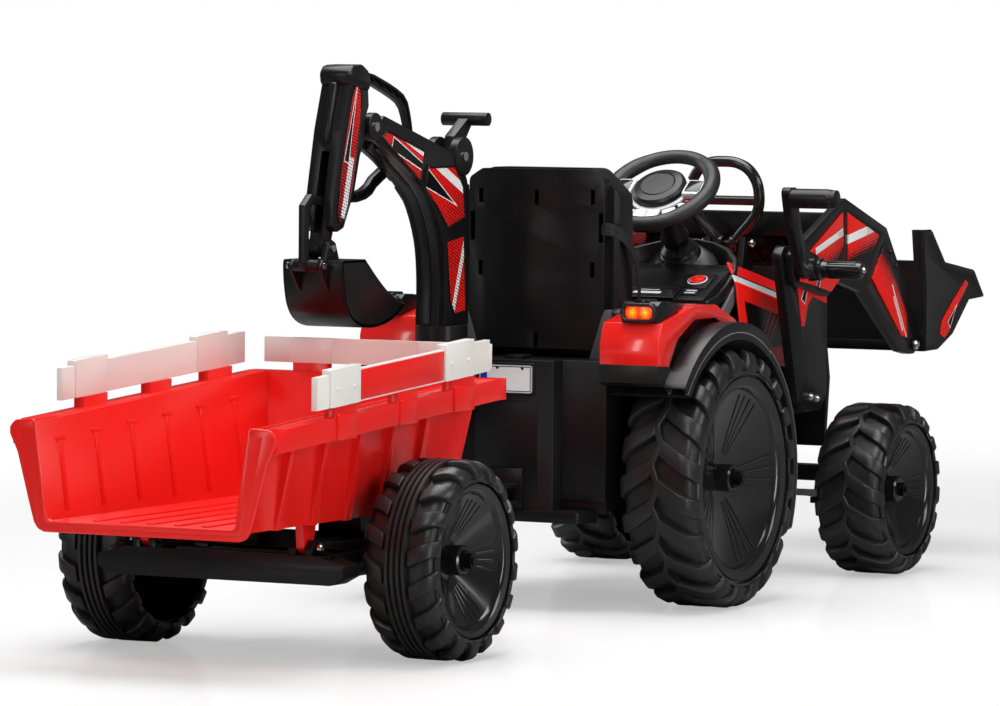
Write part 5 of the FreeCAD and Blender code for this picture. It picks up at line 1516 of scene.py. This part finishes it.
# %% [markdown]
# ## Dash
# A raised cowl runs round the front and the sides of the dash. It is a sheet that follows a plan
# line and gets its wall from Solidify, which keeps the thickness even round the bends.

# %% Cowl
def cowl(name, line, thickness):
    """A wall along a plan line of (x, y, z low, z high), thick towards the inside."""
    only()
    bpy.ops.mesh.primitive_grid_add(x_subdivisions=len(line) - 1, y_subdivisions=1, size=1)
    piece = named(name)
    steps = sorted({round(v.co.x, 4) for v in piece.data.vertices})
    for vertex in piece.data.vertices:
        x, y, low, high = line[steps.index(round(vertex.co.x, 4))]
        vertex.co = at(x, y, high if vertex.co.y > 0 else low)
    modified(piece, "SOLIDIFY", thickness=thickness * MM, offset=0, use_even_offset=True)
    return rounded(outward(piece), 3.2, 3, angle=40, smooth=60)


half_line = [(248, 114, 432, 448), (282, 116, 440, 456), (320, 116, 452, 474), (352, 114, 462, 494),
             (380, 103, 474, 511), (403, 82, 480, 525), (419, 50, 482, 534), (426, 17, 480, 539)]
line = half_line + [(x, -y, low, high) for x, y, low, high in reversed(half_line)]
dressed(cowl("dash_cowl", line, 9.0), "tractor", "black_plastic", black)

# %% [markdown]
# In front of the wheel sit the audio panel in its recess, a small rocker panel, and the round
# power button. They are built on a flat dash and then put on its slope by one matrix.

# %% Dash panels
SLOPE = math.atan2(28, 64)
PANEL = Matrix.Translation(at(300, 0, 476)) @ Matrix.Rotation(-SLOPE, 4, "Y")


def on_dash(name, x, y, z, width, inset=None):
    """A block on the sloping dash face; x runs up the slope, z stands off it."""
    low, high = (Vector((x[i], y[i], z[i])) * MM for i in range(2))
    if inset:
        piece = bezel(name, low, high, inset[0], inset[1], 2, 1, width)
    else:
        piece = block(name, low, high, width)
    piece.data.transform(PANEL)
    return piece


base = [on_dash("button_island", (-26, 24), (-100, -52), (-3, 2.5), 2.0),
        on_dash("rocker_panel", (-50, -28), (-96, -66), (-3, 2.5), 1.5, (2.0, 1.5)),
        on_dash("audio_frame", (-66, -31), (-62, 66), (-8, 4.0), 2.0, (4.0, 2.4))]
dressed(joined("dash_panels", base), "tractor", "black_plastic", black)

# %% Silver marks and the power button
marks = [on_dash("audio_bar", (-52, -44), (-34, 14), (1.0, 3.6), 1.0),
         on_dash("audio_slot", (-40, -37), (-28, 8), (1.0, 3.2), 0.6),
         on_dash("rocker_top", (-37, -34), (-90, -72), (0.5, 2.4), 0.6),
         on_dash("rocker_low", (-45, -42), (-90, -72), (0.5, 2.4), 0.6)]
marks.append(turned("button_bezel", [(14.6, 0), (16.8, 0), (16.2, 3.4), (14.6, 3.8)], 48))
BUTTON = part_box("power_button")
button_place = (BUTTON[0] + BUTTON[1]) / 2
normal = Vector((-math.sin(SLOPE), 0, math.cos(SLOPE)))
marks[-1].data.transform(facing(normal, button_place))
dressed(joined("dash_marks", marks), "tractor", "silver_plastic", silver)
cap = turned("power_dome",
             [(12.6, -4), (12.6, 4.4), (11.0, 6.2), (7.5, 6.8), (6.6, 6.2), (5.6, 6.8), (0, 7.0), (0, -4)],
             48)
cap.data.transform(facing(normal, button_place))
dressed(cap, "power_switch", "red_plastic", red)
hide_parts("power_button")
painted("audio_panel", dark_gloss)

# %% [markdown]
# A dome and a ribbed boot cover the foot of the steering column. Both are spun.

# %% Column boots
axis = -TO_DRIVER
boot = turned("column_boot",
              [(0, 0), (29, 0), (31, 4), (26, 8), (28, 12), (24, 16), (19.6, 20), (19.6, 26), (0, 26)], 64,
              24)
boot.data.transform(facing(TO_DRIVER, HUB + axis * 0.128))
dome = turned("column_dome", [(0, 0), (66, 0), (64, 6), (52, 16), (38, 22), (33, 24), (0, 24)], 72, 30)
dome.data.transform(facing(TO_DRIVER, HUB + axis * 0.156))
dressed(joined("column_boots", [boot, dome]), "tractor", "black_plastic", black)

# %% [markdown]
# ## Lamps, grille and hoop at the front
# The front end is a guess: plain headlamps behind clear lenses, and a slatted grille.

# %% Front end
def clear_lens():
    finish = Finish("Headlamp lens", (0.55, 0.56, 0.58), 0.08, Metallic=0.6, Coat_Weight=1.0)
    _, y, _ = finish.axes()
    finish.bump((y * 0.9).math("SINE"), 0.5 * MM)
    finish.set("Roughness", finish.noise(50.0) * 0.06 + 0.06)
    return finish.material


painted("headlamps", clear_lens())
front = [bezel("headlamp_bezel", at(712, min(s * 46, s * 102), 389), at(727, max(s * 46, s * 102), 431),
               4.0, 5.0, 0, 1, 2.0)
         for s in (-1, 1)]
for i in range(7):
    front.append(block("grille_slat", at(712, -92, 214 + i * 22), at(719.5, 92, 222 + i * 22), 1.5))
dressed(joined("grille_details", front), "tractor", "black_plastic", dark_gloss)

# %% [markdown]
# A thin web with zigzag ribs hangs below the cross beam of the loader arms. It is two blocks and
# a row of slanted plates, each made from the same outline and turned over at every second one.

# %% Loader brace
brace = [block("brace_web", at(652, -184, 494), at(655, 184, 542), 0.8),
         block("brace_foot", at(645, -184, 489), at(659, 184, 496), 1.5)]
for i in range(12):
    low, high = (496, 541) if i % 2 else (541, 496)
    y = -180 + 30 * i
    outline = [(y, low), (y + 2.5, low), (y + 32.5, high), (y + 30, high)]
    brace.append(facing_plate("brace_rib", outline, 645, 652.5))
dressed(joined("loader_brace_web", brace), "loader_arms", "black_plastic", black)

# %% [markdown]
# The lifting hoop is a bent round bar with a crossbar. A curve through a few points, with a
# bevel for its thickness, is turned into a mesh.

# %% Hoop
def tube(name, points, radius, rounds=2, sides=16):
    """A round bar through the points: a curve with a bevel, turned into a mesh."""
    only()
    bpy.ops.curve.primitive_nurbs_path_add()
    path = bpy.context.object
    path.data.splines.clear()
    spline = path.data.splines.new("NURBS")
    spline.points.add(len(points) - 1)
    for point, corner in zip(spline.points, points):
        point.co = (*corner, 1)
    spline.order_u, spline.use_endpoint_u = 3, True
    path.data.resolution_u = 6 * rounds
    path.data.bevel_depth, path.data.bevel_resolution = radius * MM, sides // 4
    path.data.use_fill_caps = True
    path.location = (0, 0, 0)
    bpy.ops.object.convert(target="MESH")
    return rounded(outward(named(name)), 0, smooth=50)


low_leg = [(14, 515), (14, 528), (20, 538), (48, 566), (58, 582), (61, 604), (58, 628), (44, 649),
           (22, 659), (0, 660)]
arch = low_leg + [(-y, z) for y, z in reversed(low_leg[:-1])]
hoop = [tube("hoop_arch", [at(574 - (z - 515) * 0.123, y, z) for y, z in arch], 9.0, 2, 16),
        tube("hoop_bar", [at(564, -56, 597), at(564, 0, 597), at(564, 56, 597)], 7.6, 1, 16)]
hoop += [pin("hoop_knuckle", 575, 528, y - 7, y + 7, 12.5) for y in (-14, 14)]
dressed(joined("hoop_loop", hoop), BODY_OF["hoop_handle"], SLOT_OF["hoop_handle"], dark_gloss)
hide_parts("hoop_handle")

# %% [markdown]
# ## Trailer details
# The tub's open rear edge ends in a rolled rim, and its side lips have raised sockets where the
# rails stand. The walls lean, so a bar on them is made upright and each corner is then moved by
# how high it lies.

# %% The tub's measures
TUB_REAR, TUB_FRONT, FLOOR_Z, TUB_WALL = -1268.0, -626.0, 196.0, 5.0
FLAT, WIDE, LIP_MID = 150.0, 177.0, 412.0
RAIL_TALL = 44.0


def lip_at(x):
    return 333.0 + 39.0 * (x - TUB_REAR) / (TUB_FRONT - TUB_REAR)


def leaning_bar(name, x, side, width, low, high, proud):
    """An upright bar inside the leaning side wall of the tub."""
    piece = block(name, at(x - width / 2, 0, low), at(x + width / 2, proud + 2.0, high), 0.9)
    for vertex in piece.data.vertices:
        share = (vertex.co.z / MM - FLOOR_Z) / (LIP_MID - FLOOR_Z)
        inside = (FLAT + (WIDE - FLAT) * share - TUB_WALL) * MM
        vertex.co.y = side * (inside + 2.0 * MM - vertex.co.y)
    return outward(piece)


print("lip height at the rear", lip_at(TUB_REAR), "and at the front", lip_at(TUB_FRONT))

# %% Rear rim
rim_outer = [(150, 186), (160, 190), (166, 199), (174, 226), (192, 292), (204, 316), (204, 326), (196, 335),
             (166, 337)]
rim_inner = [(163, 331), (148, 215), (143, 204), (134, 199)]
half_rim = rim_outer + rim_inner
rear_rim = facing_plate("tub_rear_rim", half_rim + [(-y, z) for y, z in reversed(half_rim)], TUB_REAR + 0.5,
                        TUB_REAR + 9.5)
dressed(rounded(rear_rim, 3.5, 4), "tub", "red_plastic", red)

# %% Rail sockets
sockets = []
for x_low, x_high in ((-1104, -1042), (-927, -870), (-769, -701)):
    for side in (-1, 1):
        top = lip_at((x_low + x_high) / 2)
        sockets.append(block("rail_socket", at(x_low + 4, min(side * 198, side * 206.5), top - 33),
                             at(x_high - 4, max(side * 198, side * 206.5), top + 3), 2.5))
dressed(joined("rail_sockets", sockets), "tub", "red_plastic", red)

# %% [markdown]
# The upright ribs outside show inside as shallow channels, and the floor has long strengthening
# ridges. A red panel is let into the right and the left rail.

# %% Channels and ridges
bars = []
for i in range(6):
    x = TUB_REAR + 103 + i * 95 - 47
    for side in (-1, 1):
        bars.append(leaning_bar("tub_channel", x, side, 12, FLOOR_Z + 16, lip_at(x) - 26, 1.6))
        bars.append(leaning_bar("tub_channel_top", x, side, 26, lip_at(x) - 31, lip_at(x) - 25, 1.8))
for y in (-84, -42, 0, 42, 84):
    bars.append(block("tub_ridge", at(TUB_REAR + 26, y - 5, FLOOR_Z + TUB_WALL - 1),
                      at(TUB_FRONT - 84, y + 5, FLOOR_Z + TUB_WALL + 2.2), 1.4))
dressed(joined("tub_ribs", bars), "tub", "red_plastic", red)

# %% Rail panels
RAIL = [(-1034, lip_at(-1034) + 16), (-793, lip_at(-793) + 16), (-793, lip_at(-793) + RAIL_TALL + 12.5),
        (-1034, lip_at(-1034) + RAIL_TALL + 12.5)]
panels = [plate("rail_panel", RAIL, min(s * 200, s * 203.6), max(s * 200, s * 203.6), 1.0) for s in (-1, 1)]
dressed(joined("rail_panels", panels), "tub", "red_plastic", red)

# %% [markdown]
# ## Studio
# The floor is pale and mirrors softly near the object. It fades to plain white further away, but
# only as the camera sees it, so that it throws no extra light on the object.

# %% Floor
FADE_START, FADE_END = 700.0, 2600.0


def studio_floor():
    """Pale and softly mirroring near the object; far away the camera sees plain white."""
    finish = Finish("Studio floor", (0.86, 0.86, 0.86), 0.07)
    x, y, _ = finish.axes()
    path = finish.node("ShaderNodeLightPath", {}, {})
    away = (x * x * 0.45 + y * y).math("SQRT")
    fade = finish.node("ShaderNodeMapRange", {"interpolation_type": "SMOOTHSTEP"},
                       {"Value": away, "From Min": FADE_START, "From Max": FADE_END})
    glossy = Wire(finish, path.socket.node.outputs["Is Glossy Ray"])
    white = finish.node("ShaderNodeEmission", {}, {"Color": (1, 1, 1, 1), "Strength": 1.0})
    blend = finish.node("ShaderNodeMixShader", {},
                        {0: fade * path, 1: Wire(finish, finish.shader.outputs[0]), 2: white})
    finish.feed(finish.tree.nodes["Material Output"].inputs["Surface"], blend)
    finish.set("Base Color", finish.mix(glossy, (0.86, 0.86, 0.86), (0.30, 0.30, 0.30)))
    finish.set("Emission Color", finish.mix(path, (0, 0, 0), (1, 1, 1)))
    finish.set("Emission Strength", 0.42)
    return finish.material


only()
bpy.ops.mesh.primitive_plane_add(size=40, location=(0, 0, 0))
floor = named("studio_floor")
floor.data.materials.append(studio_floor())
print("floor fades to white between", FADE_START, "and", FADE_END, "mm")

# %% [markdown]
# The world is white to the camera and dim to everything else, with a faint glow near the horizon
# for the gloss to mirror.

# %% World
world = bpy.data.worlds.new("Studio")
bpy.context.scene.world = world
world.use_nodes = True
tree = world.node_tree
background = tree.nodes["Background"]
background.inputs["Color"].default_value = (1, 1, 1, 1)


def world_node(kind, **inputs):
    made = tree.nodes.new(kind)
    for key, value in inputs.items():
        socket = made.inputs[key.replace("_", " ")]
        if isinstance(value, bpy.types.NodeSocket):
            tree.links.new(value, socket)
        else:
            socket.default_value = value
    return made


rays = world_node("ShaderNodeLightPath")
sky = world_node("ShaderNodeTexCoord")
heights = world_node("ShaderNodeSeparateXYZ", Vector=sky.outputs["Generated"])
glow = world_node("ShaderNodeMapRange", Value=heights.outputs["Z"], From_Min=0.03, From_Max=0.10,
                  To_Min=0.24, To_Max=0.10)
level = world_node("ShaderNodeMapRange", Value=rays.outputs["Is Camera Ray"], To_Min=0.14, To_Max=1.0)
tree.links.new(glow.outputs[0], level.inputs["To Min"])
tree.links.new(level.outputs[0], background.inputs["Strength"])
print(len(tree.nodes), "world nodes")

# %% [markdown]
# Large soft lights give plastic its long highlights: one overhead, one behind, one at each side,
# and two narrow strips that draw a bright line on edges.

# %% Lights
def softbox(name, place, aim, size, power):
    only()
    bpy.ops.object.light_add(type="AREA", location=place)
    lamp = named(name)
    lamp.data.shape, lamp.data.size, lamp.data.size_y = "RECTANGLE", size[0], size[1]
    lamp.data.energy = power
    lamp.rotation_euler = (Vector(aim) - Vector(place)).to_track_quat("-Z", "Y").to_euler()


softbox("Overhead", (-0.1, 0.1, 2.9), (0, 0, 0.3), (3.0, 2.4), 128)
softbox("Rear key", (-3.2, -0.9, 2.6), (-0.3, 0, 0.4), (1.3, 1.3), 26)
softbox("Side fill", (0.2, -3.2, 1.9), (0.1, 0, 0.35), (2.0, 1.0), 30)
softbox("Far side", (0.8, 3.2, 1.8), (0, 0, 0.4), (2.0, 1.4), 24)
softbox("Tall strip", (-2.6, -3.6, 1.0), (0, 0, 0.3), (0.35, 1.9), 26)
softbox("Rear strip", (-4.2, 1.2, 1.3), (0, 0, 0.4), (0.4, 1.8), 12)

# %% [markdown]
# The camera stands far away with a long lens, which keeps the perspective flat. Its direction is
# set from a turn, a tilt and a slight roll.

# %% Camera
EYE, LENS, SENSOR = at(-7498, -3728, 820), 198.0, 36.0
AIM_YAW, AIM_DOWN, AIM_ROLL = math.radians(27.15), math.radians(3.05), math.radians(0.48)
only()
bpy.ops.object.camera_add(location=EYE)
camera = named("Camera")
forward = Vector((math.cos(AIM_DOWN) * math.cos(AIM_YAW), math.cos(AIM_DOWN) * math.sin(AIM_YAW),
                  -math.sin(AIM_DOWN)))
camera.rotation_mode = "QUATERNION"
roll = Matrix.Rotation(AIM_ROLL, 3, "Z").to_quaternion()
camera.rotation_quaternion = forward.to_track_quat("-Z", "Y") @ roll
camera.data.lens, camera.data.sensor_width = LENS, SENSOR
camera.data.clip_start, camera.data.clip_end = 0.1, 100.0
bpy.context.scene.camera = camera
bpy.context.scene.view_settings.view_transform = "Standard"
print("camera at", tuple(round(v, 2) for v in camera.location))
